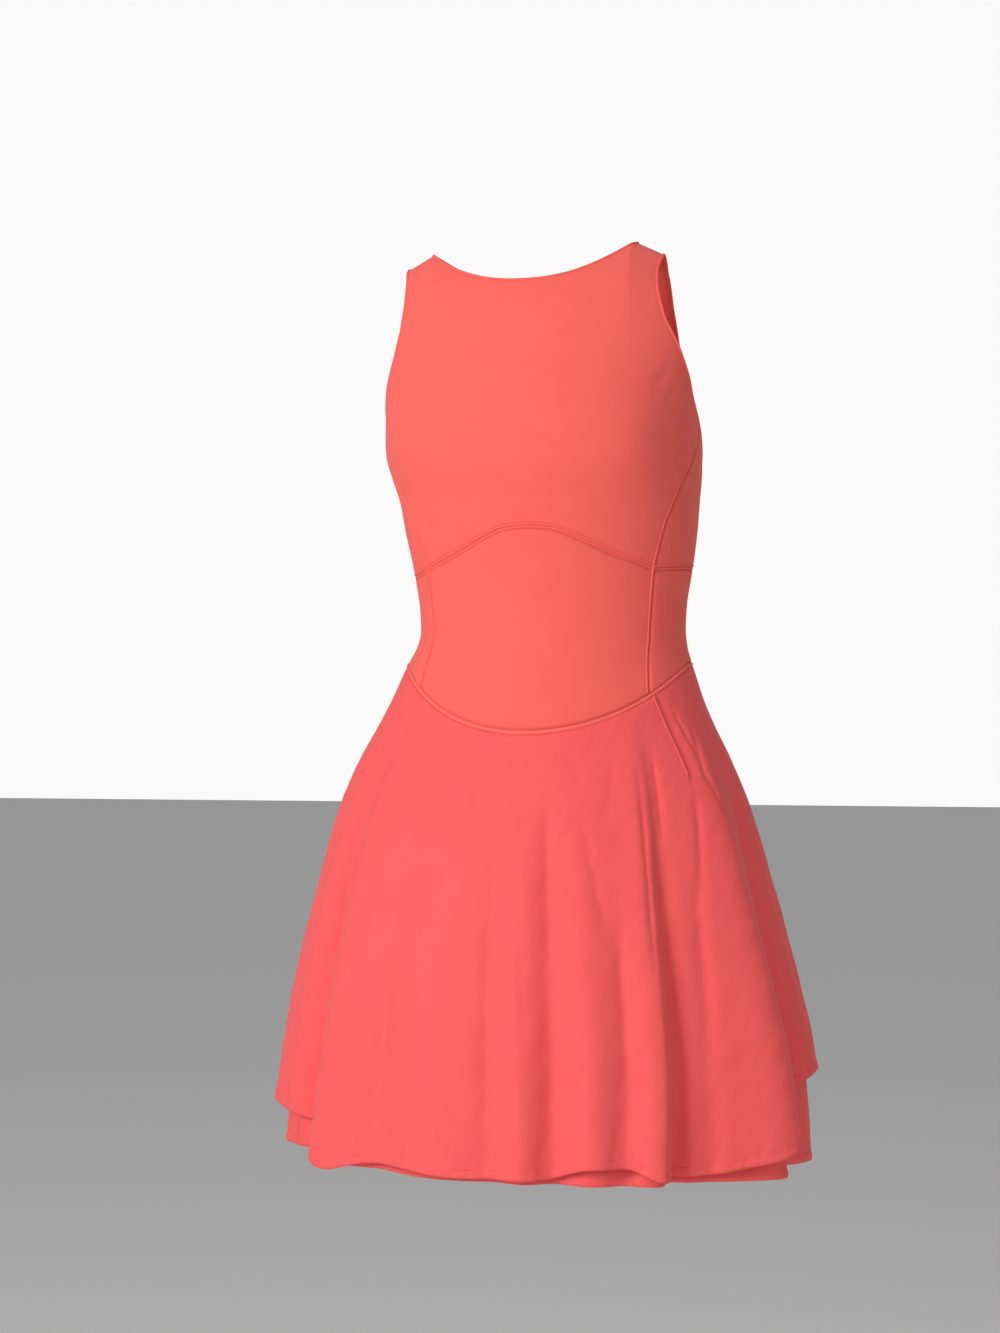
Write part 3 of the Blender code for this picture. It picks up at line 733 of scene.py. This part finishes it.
def bodice_front():
    half = top_edge(FRONT_NECKLINE, NECK_STEPS, STRAP_STEPS)
    top = np.concatenate((flipped(half)[:0:-1], half))
    side = bodice_side(FRONT_PRINCESS, FRONT_ARMHOLE, half[-1])
    bottom = level_points(arch, -ARCH_CORNER, ARCH_CORNER, len(top) - 1)
    return bodice("front_bodice", bottom, top, flipped(side), side)


def bodice_back():
    half = flipped(top_edge(BACK_NECKLINE, NECK_STEPS, STRAP_STEPS)[::-1], 90.0)
    top = np.concatenate((half, flipped(half[:-1][::-1], 180.0)))
    side = bodice_side(BACK_PRINCESS, BACK_ARMHOLE, half[0])
    bottom = level_points(arch, BACK_ARCH_CORNER, 360.0 - BACK_ARCH_CORNER, len(top) - 1)
    return bodice("back_bodice", bottom, top, side, flipped(side, 180.0))


front_bodice = bodice_front()
back_bodice = bodice_back()

# %% [markdown]
# Under each arm a side panel joins front to back. It is cut in two at the level of the
# underbust seam. Left and right are alike, but the dress hangs a little askew, so the seams
# lie at slightly different levels on the two sides.

# %% Side panels
def side_panels():
    made = []
    front_seam = seam_points(FRONT_PRINCESS, ARCH_CORNER_DOWN, UNDERARM_FRONT, PRINCESS_STEPS)
    back_seam = seam_points(BACK_PRINCESS, ARCH_CORNER_DOWN, UNDERARM_FRONT, PRINCESS_STEPS)
    underarm = level_points(lambda t: smooth(UNDERARM, t), 88.0, 124.0, SIDE_STEPS)
    for side, sign in SIDE_SIGNS.items():
        belt = level_points(lambda t: arch(sign * t), ARCH_CORNER, BACK_ARCH_CORNER, SIDE_STEPS)
        hip = level_points(lambda t: waist_seam(sign * t), HIP_CORNER, BACK_HIP_CORNER, SIDE_STEPS)
        front_low = seam_points(FRONT_PRINCESS, hip[0][1], ARCH_CORNER_DOWN, MIDRIFF_STEPS)
        back_low = seam_points(BACK_PRINCESS, hip[-1][1], ARCH_CORNER_DOWN, MIDRIFF_STEPS)
        for node, grid, low, high in (
                ("side_upper", patch(belt, underarm, front_seam, back_seam), BELT_INSET, 0.0),
                ("side_lower", patch(hip, belt, front_low, back_low), WAIST_INSET, BELT_INSET)):
            own = grid if side == "left" else flipped(grid[::-1])
            made.append(knit_piece(f"{node}_{side}", own, start=PRINCESS_INSET,
                                   end=PRINCESS_INSET, bottom=low, top=high))
    return made


side_pieces = side_panels()

# %% [markdown]
# The midriff is the shaped band between the arch and the dropped waist seam, which sweeps
# down to a shallow U at the front.

# %% Midriffs
def midriff(node, table, arch_corner, hip_corner, centre):
    steps = 2 * (NECK_STEPS + STRAP_STEPS)
    bottom = level_points(waist_seam, hip_corner, 2.0 * centre - hip_corner, steps)
    top = level_points(arch, arch_corner, 2.0 * centre - arch_corner, steps)
    first = seam_points(table, bottom[0][1], ARCH_CORNER_DOWN, MIDRIFF_STEPS)
    last = seam_points(table, bottom[-1][1], ARCH_CORNER_DOWN, MIDRIFF_STEPS)
    if centre == 0.0:
        first = flipped(first)
    else:
        last = flipped(last, centre)
    return knit_piece(node, patch(bottom, top, first, last), start=PRINCESS_INSET,
                      end=PRINCESS_INSET, bottom=WAIST_INSET, top=BELT_INSET)


front_midriff = midriff("front_midriff", FRONT_PRINCESS, -ARCH_CORNER, -HIP_CORNER, 0.0)
back_midriff = midriff("back_midriff", BACK_PRINCESS, BACK_ARCH_CORNER, BACK_HIP_CORNER, 180.0)

# %% [markdown]
# ## The skirt
#
# The skirt is two flared layers. The outer one has a hem that rises at the sides, so the
# level hem of the under layer shows there. Its large folds are the ones that the packed
# solids have. Over them come creases, a low ripple, and the pucker that a stitched hem
# gives to a thin cloth.

# %% Skirt surfaces
SKIRT_RADIUS = 0.190
HIP_RADIUS = 0.150
HEM_DEPTH = 7.0 * MM
POCKET_STEP = 1.6 * MM
POCKET_STEP_WIDTH = 10.0 * MM


def skirt_theta(start, end, step):
    """Angles that part the outer hem into equal lengths of cloth."""
    theta = np.linspace(start, end, 2881)
    edge = outer_skirt(theta, outer_hem(theta))
    length = run_along(edge, 0)
    steps = int(length[-1] / step)
    return np.interp(np.linspace(0.0, length[-1], steps + 1), length, theta)


def hem_relief(to_hem, across):
    """The turned-up hem: a thicker strip below its stitch line, a little puckered there."""
    turned = 0.45 * MM * (1.0 - ramp(to_hem, HEM_DEPTH - 1.0 * MM, HEM_DEPTH + 0.6 * MM))
    groove = 0.5 * MM * np.exp(-((to_hem - HEM_DEPTH) / (1.2 * MM)) ** 2)
    pucker = np.exp(-((to_hem - HEM_DEPTH) / (8.0 * MM)) ** 2)
    return turned - groove + 0.35 * MM * pucker * ripple(across, to_hem * 0.3, 0.0035)


def pocket_relief(theta, down):
    """The side cloth lies a little lower than the folded edge of each pocket opening."""
    depth = np.zeros(np.broadcast(theta, down).shape)
    for side, rows in POCKET_EDGES.items():
        beyond = wrapped(theta) - smooth(rows, down)
        beyond = np.radians(beyond * SIDE_SIGNS[side]) * HIP_RADIUS
        ends = ramp(down, rows[0][0] - 0.002, rows[0][0] + 0.006)
        ends = ends * ramp(down, rows[-1][0] + 0.012, rows[-1][0] - 0.004)
        depth += POCKET_STEP * ends * (beyond > 0.0) * np.exp(-(beyond / POCKET_STEP_WIDTH) ** 2)
    return depth


def skirt_panel(node, surface, hem, start, end, lift, ripple_mm, step, rows):
    theta = skirt_theta(start, end, step)[:, None]
    share = np.linspace(1.0, 0.0, rows + 1)[None, :]
    top = waist_seam(theta)
    grid = np.stack((theta + 0.0 * share, top + (hem(theta) - top) * share), -1)
    grid = drawn_in(grid, surface, top=WAIST_INSET)
    theta, down = grid[..., 0], grid[..., 1]
    base = surface(theta, down)
    across = run_along(base, 0)
    to_hem = run_along(base, 1)
    relief = lift - crease_depth(SKIRT_CREASES, theta, down, SKIRT_RADIUS)
    hang = ramp(down, 0.40, 0.50)
    relief = relief + ripple_mm * MM * hang * ripple(across, down, 0.014)
    relief = relief + 0.6 * ripple_mm * MM * ripple(across, down * 0.35, 0.006)
    relief = relief + hem_relief(to_hem, across)
    if surface is outer_skirt:
        relief = relief - pocket_relief(theta, down)
    points = base + grid_normals(base) * relief[..., None]
    return cloth(f"{node}_cloth", [node], points, WOVEN,
                 rolled=(True, True, False, True))


BACK_END = 360.0 - SIDE_SEAM
skirt_pieces = [
    skirt_panel("outer_skirt_front", outer_skirt, outer_hem,
                -SIDE_SEAM, SIDE_SEAM, CLOTH_LIFT, 0.30, 2.3 * MM, 160),
    skirt_panel("outer_skirt_back", outer_skirt, outer_hem,
                SIDE_SEAM, BACK_END, CLOTH_LIFT, 0.30, 3.0 * MM, 150),
    skirt_panel("inner_skirt_front", inner_skirt, inner_hem,
                -SIDE_SEAM, SIDE_SEAM, 0.0, 0.20, 3.4 * MM, 120),
    skirt_panel("inner_skirt_back", inner_skirt, inner_hem,
                SIDE_SEAM, BACK_END, 0.0, 0.20, 3.4 * MM, 120),
]

# %% [markdown]
# ## Seams
#
# The seams are sewn flat with cover stitch. One panel's edge stands up as a narrow rounded
# lip, and beside it runs a sunk groove with the stitches in it. The section of such a seam
# is written as pairs: how far beside the seam line, and how high over the cloth. The
# section is then carried along the seam's line of points to make one solid band.

# %% Sweep a band along a seam
def seam_frame(path, surface):
    """Points, directions, outward normals and sideways directions along a seam."""
    theta, down = path[:, 0], path[:, 1]
    points = surface(theta, down)
    turn, drop = 0.05, 0.0004
    round_body = surface(theta + turn, down) - surface(theta - turn, down)
    down_body = surface(theta, down + drop) - surface(theta, down - drop)
    normal = unit(np.cross(down_body, round_body))
    forward = unit(np.gradient(points, axis=0))
    return points, forward, normal, unit(np.cross(normal, forward))


UNDERBUST_SECTION = MM * np.array((
    (-3.0, -1.2), (-2.9, -0.65), (-1.5, -0.65), (-1.1, -0.12), (-0.6, 0.0), (-0.1, -0.12),
    (0.25, -0.65), (1.0, -0.65), (1.25, 0.05), (1.7, 0.50), (2.3, 0.50), (2.8, 0.15),
    (3.05, -0.3), (3.05, -1.2),
))
WAIST_SECTION = MM * np.array((
    (-2.8, -1.2), (-2.7, -0.60), (-1.7, -0.60), (-1.4, 0.0), (-0.9, 0.40), (0.0, 0.60),
    (0.6, 0.45), (0.95, 0.0), (1.15, -0.70), (2.7, -0.70), (2.8, -1.2),
))
PRINCESS_SECTION = MM * np.array((
    (-2.5, -1.2), (-2.5, -0.3), (-2.25, 0.12), (-1.8, 0.42), (-1.2, 0.45), (-0.75, 0.15),
    (-0.55, -0.65), (1.45, -0.65), (1.5, -1.2),
))


def section_round(width, height, sides=10):
    angle = np.linspace(0.0, 2.0 * np.pi, sides, endpoint=False)
    return np.stack((-0.5 * width * np.cos(angle), 0.5 * height * np.sin(angle)), -1)


def swept(name, path, surface, section, finish, lift=0.0, closed=False):
    """Carry a closed section along a seam to make one solid band."""
    points, forward, normal, aside = seam_frame(path, surface)
    raised = section[None, :, 1:] + np.reshape(lift, (-1, 1, 1))
    rings = points[:, None] + aside[:, None] * section[None, :, :1] + normal[:, None] * raised
    count, sides = rings.shape[:2]
    along = run_along(points, 0)
    faces, layout = [], []
    around = np.linspace(0.0, float(np.ptp(section[:, 0])) * 2.0, sides + 1)
    last = count if closed else count - 1
    for i in range(last):
        j = (i + 1) % count
        v_start = float(along[i])
        v_end = float(along[i + 1]) if i + 1 < count else v_start + 0.002
        for k in range(sides):
            m = (k + 1) % sides
            faces.append((i * sides + k, i * sides + m, j * sides + m, j * sides + k))
            layout += [(around[k], v_start), (around[k + 1], v_start),
                       (around[k + 1], v_end), (around[k], v_end)]
    if not closed:
        faces.append(tuple(reversed(range(sides))))
        faces.append(tuple((count - 1) * sides + k for k in range(sides)))
        layout += [(0.0, 0.0)] * (2 * sides)
    mesh = bpy.data.meshes.new(name)
    mesh.from_pydata(rings.reshape(-1, 3).tolist(), [], faces)
    set_uv(mesh, layout)
    mesh.shade_smooth()
    band = put_in_scene(name, mesh)
    outward(band)
    finish_piece(band, finish)
    print(f"{name}: {along[-1]:.3f} m long")
    return band


def outward(piece):
    """Turn every face outwards."""
    bpy.context.view_layer.objects.active = piece
    piece.select_set(True)
    bpy.ops.object.mode_set(mode="EDIT")
    bpy.ops.mesh.select_all(action="SELECT")
    bpy.ops.mesh.normals_make_consistent(inside=False)
    bpy.ops.object.mode_set(mode="OBJECT")
    piece.select_set(False)


# %% [markdown]
# Stitches are small and there are thousands of them, so one is modelled and then repeated.
# It is a six-sided grain of thread, thick in the middle. All the stitches of a seam are
# joined in one mesh.

# %% Model one stitch
STITCH_LENGTH = 1.5 * MM
STITCH_PITCH = 2.2 * MM
STITCH_WIDTH = 0.55 * MM


def one_stitch():
    """A thread grain along X, made from a cylinder whose ends are drawn in."""
    bpy.ops.mesh.primitive_cylinder_add(
        vertices=6, radius=STITCH_WIDTH / 2.0, depth=STITCH_LENGTH, location=(0.0, 0.0, 0.0),
        rotation=(0.0, math.radians(90.0), 0.0))
    grain = bpy.context.object
    bpy.ops.object.transform_apply(location=True, rotation=True, scale=True)
    bpy.ops.object.mode_set(mode="EDIT")
    bpy.ops.mesh.select_all(action="SELECT")
    bpy.ops.mesh.bisect(plane_co=(0.0, 0.0, 0.0), plane_no=(1.0, 0.0, 0.0))
    bpy.ops.object.mode_set(mode="OBJECT")
    for vertex in grain.data.vertices:
        if abs(vertex.co.x) > STITCH_LENGTH * 0.4:
            vertex.co.y *= 0.35
            vertex.co.z *= 0.35
            vertex.co.z -= STITCH_WIDTH * 0.4
    vertices = np.array([v.co[:] for v in grain.data.vertices])
    faces = [tuple(p.vertices) for p in grain.data.polygons]
    bpy.data.objects.remove(grain, do_unlink=True)
    return vertices, faces


STITCH_POINTS, STITCH_FACES = one_stitch()
print("one stitch:", len(STITCH_FACES), "faces")


# %% Lay stitches along a line
def stitch_rows(name, rows, pitch=STITCH_PITCH):
    """rows: (path, surface, aside, lift, across) for each line of stitches, joined as one."""
    all_points, all_faces = [], []
    for path, surface, offset, lift, across in rows:
        points, forward, normal, aside = seam_frame(path, surface)
        points = points + aside * offset + normal * lift
        length = run_along(points, 0)
        count = max(int(length[-1] / pitch), 1)
        at = (np.arange(count) + 0.5) * length[-1] / count
        spread = [np.stack([np.interp(at, length, field[:, k]) for k in range(3)], -1)
                  for field in (points, forward, aside, normal)]
        for place, ahead, sideways, outwards in zip(*spread):
            start = len(all_points) * len(STITCH_POINTS)
            basis = np.stack((sideways, -ahead, outwards) if across else (ahead, sideways, outwards))
            all_points.append(place + STITCH_POINTS @ basis)
            all_faces += [tuple(start + v for v in face) for face in STITCH_FACES]
    mesh = bpy.data.meshes.new(name)
    mesh.from_pydata(np.concatenate(all_points).tolist(), [], all_faces)
    mesh.shade_smooth()
    set_uv(mesh, np.zeros((len(mesh.loops), 2)))
    piece = put_in_scene(name, mesh)
    outward(piece)
    # Every stitch takes the darkened thread: painted groove shade over real stitches.
    finish_piece(piece, THREAD_PAINTED_SHADE)
    print(f"{name}: {len(all_points)} stitches")
    return piece


# %% [markdown]
# The underbust seam and the waist seam run all round the body. The princess seams run down
# each side of the bust and through the midriff, two in front and two behind.

# %% Paths of the seams
CLOTH_FACE = CLOTH_LIFT + CLOTH_THICKNESS
RING_STEP_DEG = 0.9


def ring_path(curve):
    return level_points(curve, -180.0, 180.0, int(360.0 / RING_STEP_DEG))[:-1]


def side_path(table, top, bottom, sign, steps=120):
    path = seam_points(table, top, bottom, steps)
    path[:, 0] *= sign
    return path


PRINCESS_START = 0.1615
WAIST_CLEARANCE = 0.0022
CROSSING_RAISE = 0.35 * MM
CROSSING_LENGTH = 0.005
princess_paths = {}
for side, sign in SIDE_SIGNS.items():
    front_end = float(waist_seam(np.array(sign * HIP_CORNER))) - WAIST_CLEARANCE
    back_end = float(waist_seam(np.array(BACK_HIP_CORNER))) - WAIST_CLEARANCE
    princess_paths[f"front_{side}"] = (
        side_path(FRONT_PRINCESS, PRINCESS_START, front_end, sign), sign)
    princess_paths[f"back_{side}"] = (
        side_path(BACK_PRINCESS, PRINCESS_START, back_end, sign), -sign)


def handed(section, sign):
    """The same section with its lip on the other side."""
    return section if sign > 0.0 else section[::-1] * (-1.0, 1.0)


# %% Flat seam bands
seam_bands = [
    swept("underbust_seam", ring_path(arch), form, UNDERBUST_SECTION, KNIT,
          CLOTH_FACE, closed=True),
    # The waist band takes the lighter copy of the knit: painted highlight.
    swept("waist_seam", ring_path(waist_seam), form, WAIST_SECTION, SEAM_KNIT_PAINTED_HIGHLIGHT,
          CLOTH_FACE, closed=True),
]
for name, (path, sign) in princess_paths.items():
    raised = CROSSING_RAISE * np.exp(-((path[:, 1] - ARCH_CORNER_DOWN) / CROSSING_LENGTH) ** 2)
    seam_bands.append(swept(f"princess_{name}", path, form, handed(PRINCESS_SECTION, sign),
                            KNIT, CLOTH_FACE + raised))

# %% Stitches in the grooves
GROOVE_FLOOR = CLOTH_FACE - 0.55 * MM
GROOVE_PITCH = 1.7 * MM
UNDERBUST_GROOVES = (-2.1 * MM, 0.62 * MM)
WAIST_GROOVES = (-2.2 * MM, 1.8 * MM)
PRINCESS_GROOVE = 0.45 * MM
seam_stitches = stitch_rows(
    "seam_stitches",
    [(ring_path(arch), form, beside, GROOVE_FLOOR, True) for beside in UNDERBUST_GROOVES]
    + [(ring_path(waist_seam), form, beside, GROOVE_FLOOR, True) for beside in WAIST_GROOVES]
    + [(path, form, sign * PRINCESS_GROOVE, GROOVE_FLOOR, True)
       for path, sign in princess_paths.values()],
    GROOVE_PITCH)

# %% [markdown]
# ## Rolled edges
#
# The neckline and the armholes are turned in and bonded, so they end in a soft rounded
# edge a little thicker than the cloth, with no stitches on the face.

# %% Neckline and armholes
EDGE_WIDTH = 2.6 * MM
EDGE_HEIGHT = 2.0 * MM
EDGE_LIFT = CLOTH_LIFT + 0.4 * MM


def neck_path():
    front = top_edge(FRONT_NECKLINE, 60, 1)[:-1]
    back = flipped(top_edge(BACK_NECKLINE, 60, 1)[:-1], 90.0)
    left = np.concatenate((front, back[::-1]))
    right = flipped(left[1:-1][::-1])
    return np.concatenate((left, right))


def armhole_path(sign):
    start = FRONT_ARMHOLE[0][0] + 0.0006
    front = seam_points(FRONT_ARMHOLE, start, UNDERARM_FRONT, 70)
    under = level_points(lambda t: smooth(UNDERARM, t), 88.0, 124.0, 40)[1:-1]
    back = seam_points(BACK_ARMHOLE, UNDERARM_FRONT, start, 70)
    path = np.concatenate((front, under, back))
    path[:, 0] *= sign
    return path


EDGE_SECTION = section_round(EDGE_WIDTH, EDGE_HEIGHT)
edges = [swept("neck_edge", neck_path(), form, EDGE_SECTION, KNIT, EDGE_LIFT,
               closed=True)]
for side, sign in SIDE_SIGNS.items():
    edges.append(swept(f"armhole_edge_{side}", armhole_path(sign), form, EDGE_SECTION, KNIT,
                       EDGE_LIFT))

# %% [markdown]
# ## Pocket openings and hems
#
# Two slanting pocket openings run down from the waist seam in line with the princess seams.
# Each is a folded edge that stands a little over the cloth beside it, with a short bar of
# stitches across its lower end. The hems are turned up and sewn with one row of stitches.

# %% Pocket edges
def pocket_path(side, steps=60):
    rows = POCKET_EDGES[side]
    return seam_points(rows, rows[0][0] + 0.003, rows[-1][0], steps)


POCKET_SECTION = MM * np.array((
    (-2.2, -0.6), (-2.2, -0.1), (-1.9, 0.25), (-1.2, 0.50), (-0.4, 0.50), (0.0, 0.2),
    (0.15, -0.6), (0.15, -1.6), (-2.2, -1.6),
))
pocket_edges = [
    swept(f"pocket_edge_{side}", pocket_path(side), outer_skirt,
          handed(POCKET_SECTION, SIDE_SIGNS[side]), WOVEN, CLOTH_FACE)
    for side in POCKET_EDGES
]


TACK_TURN = 2.4
TACK_DROP = 3.5 * MM


def tack_path(side):
    """The bar tack: a short curved line across the lower end of the opening."""
    down, theta = POCKET_EDGES[side][-1]
    steps = np.linspace(0.0, 1.0, 16)
    across = theta + SIDE_SIGNS[side] * TACK_TURN * steps
    return np.stack((across, down + TACK_DROP * np.sin(steps * np.pi / 2.0)), -1)


# %% Hem stitches
def hem_path(hem):
    theta = np.linspace(-180.0, 180.0, 1400)
    return np.stack((theta, hem(theta) - HEM_DEPTH), -1)


skirt_stitches = stitch_rows(
    "skirt_stitches",
    [(hem_path(outer_hem), outer_skirt, 0.0, CLOTH_FACE - 0.35 * MM, False),
     (hem_path(inner_hem), inner_skirt, 0.0, CLOTH_THICKNESS - 0.35 * MM, False)]
    + [(pocket_path(side), outer_skirt, sign * MM, CLOTH_FACE - POCKET_STEP + 0.3 * MM, True)
       for side, sign in SIDE_SIGNS.items()]
    + [(tack_path(side), outer_skirt, 0.0, CLOTH_FACE - 0.3 * MM, False)
       for side in POCKET_EDGES])

# %% [markdown]
# ## Floor, light and camera
#
# The dress hangs at the height of its wearer's shoulders over a pale floor. The light is
# broad and soft from the front, so the sides fall gently into shade, as in a white studio.
# The camera stands about 2.4 m away at waist height, a little to the wearer's left.

# %% Floor
CAMERA_TURN = math.radians(12.0)
FLOOR_LEVEL = -1.38
bpy.ops.mesh.primitive_plane_add(size=40.0, location=(0.0, 0.0, FLOOR_LEVEL))
floor = bpy.context.object
floor.name = "pale_floor"
floor_finish = bpy.data.materials.new("pale_floor")
floor_finish.use_nodes = True
floor_shader = floor_finish.node_tree.nodes["Principled BSDF"]
floor_shader.inputs["Base Color"].default_value = (0.90, 0.90, 0.90, 1.0)
floor_shader.inputs["Roughness"].default_value = 0.9
floor.data.materials.append(floor_finish)

# %% Studio light
world = bpy.data.worlds.new("white_studio")
bpy.context.scene.world = world
world.use_nodes = True
sky = world.node_tree
direction = add_node(sky, "ShaderNodeTexCoord")
towards_backdrop = add_node(sky, "ShaderNodeVectorMath", operation="DOT_PRODUCT")
towards_backdrop.inputs[1].default_value = (-math.sin(CAMERA_TURN), math.cos(CAMERA_TURN), 0.0)
brightness = add_node(sky, "ShaderNodeMapRange", interpolation_type="SMOOTHSTEP")
brightness.inputs["From Min"].default_value = 0.80
brightness.inputs["From Max"].default_value = 0.93
brightness.inputs["To Min"].default_value = 0.30
brightness.inputs["To Max"].default_value = 0.95
sky.links.new(direction.outputs["Generated"], towards_backdrop.inputs[0])
sky.links.new(towards_backdrop.outputs["Value"], brightness.inputs["Value"])
sky.links.new(brightness.outputs["Result"], sky.nodes["Background"].inputs["Strength"])
sky.nodes["Background"].inputs["Color"].default_value = (1.0, 1.0, 1.0, 1.0)
MIDDLE = Vector((0.0, 0.0, -0.40))
LAMPS = (
    # name, place, size, power, colour
    ("key_light", (-1.5, -2.6, 0.5), 1.2, 62.0, (1.0, 0.97, 0.98)),
    ("fill_light", (1.9, -2.2, 0.1), 1.6, 9.0, (1.0, 0.93, 0.88)),
    ("top_light", (0.0, -0.4, 2.0), 1.4, 8.0, (1.0, 1.0, 1.0)),
)
for lamp_name, place, size, power, tint in LAMPS:
    light = bpy.data.lights.new(lamp_name, "AREA")
    light.size = size
    light.energy = power
    light.color = tint
    lamp = put_in_scene(lamp_name, light)
    lamp.location = place
    lamp.rotation_euler = (MIDDLE - Vector(place)).to_track_quat("-Z", "Y").to_euler()

# %% Camera
CAMERA_DISTANCE = 2.4
CAMERA_HEIGHT = -0.3815
AIM_HEIGHT = -0.367
AIM_SIDE = -0.0307
FOCAL_PIXELS = 2736.0
PHOTO_HEIGHT = 1333.0
SENSOR = 24.0
ahead = Vector((-math.sin(CAMERA_TURN), math.cos(CAMERA_TURN), 0.0))
to_right = Vector((math.cos(CAMERA_TURN), math.sin(CAMERA_TURN), 0.0))
aim = to_right * AIM_SIDE + Vector((0.0, 0.0, AIM_HEIGHT))
lens = bpy.data.cameras.new("photo_camera")
lens.sensor_fit = "VERTICAL"
lens.sensor_height = SENSOR
lens.lens = FOCAL_PIXELS / PHOTO_HEIGHT * SENSOR
camera = put_in_scene("photo_camera", lens)
camera.location = aim - ahead * CAMERA_DISTANCE
camera.location.z = CAMERA_HEIGHT
camera.rotation_euler = (aim - camera.location).to_track_quat("-Z", "Y").to_euler()
bpy.context.scene.camera = camera
bpy.context.scene.view_settings.view_transform = "Standard"
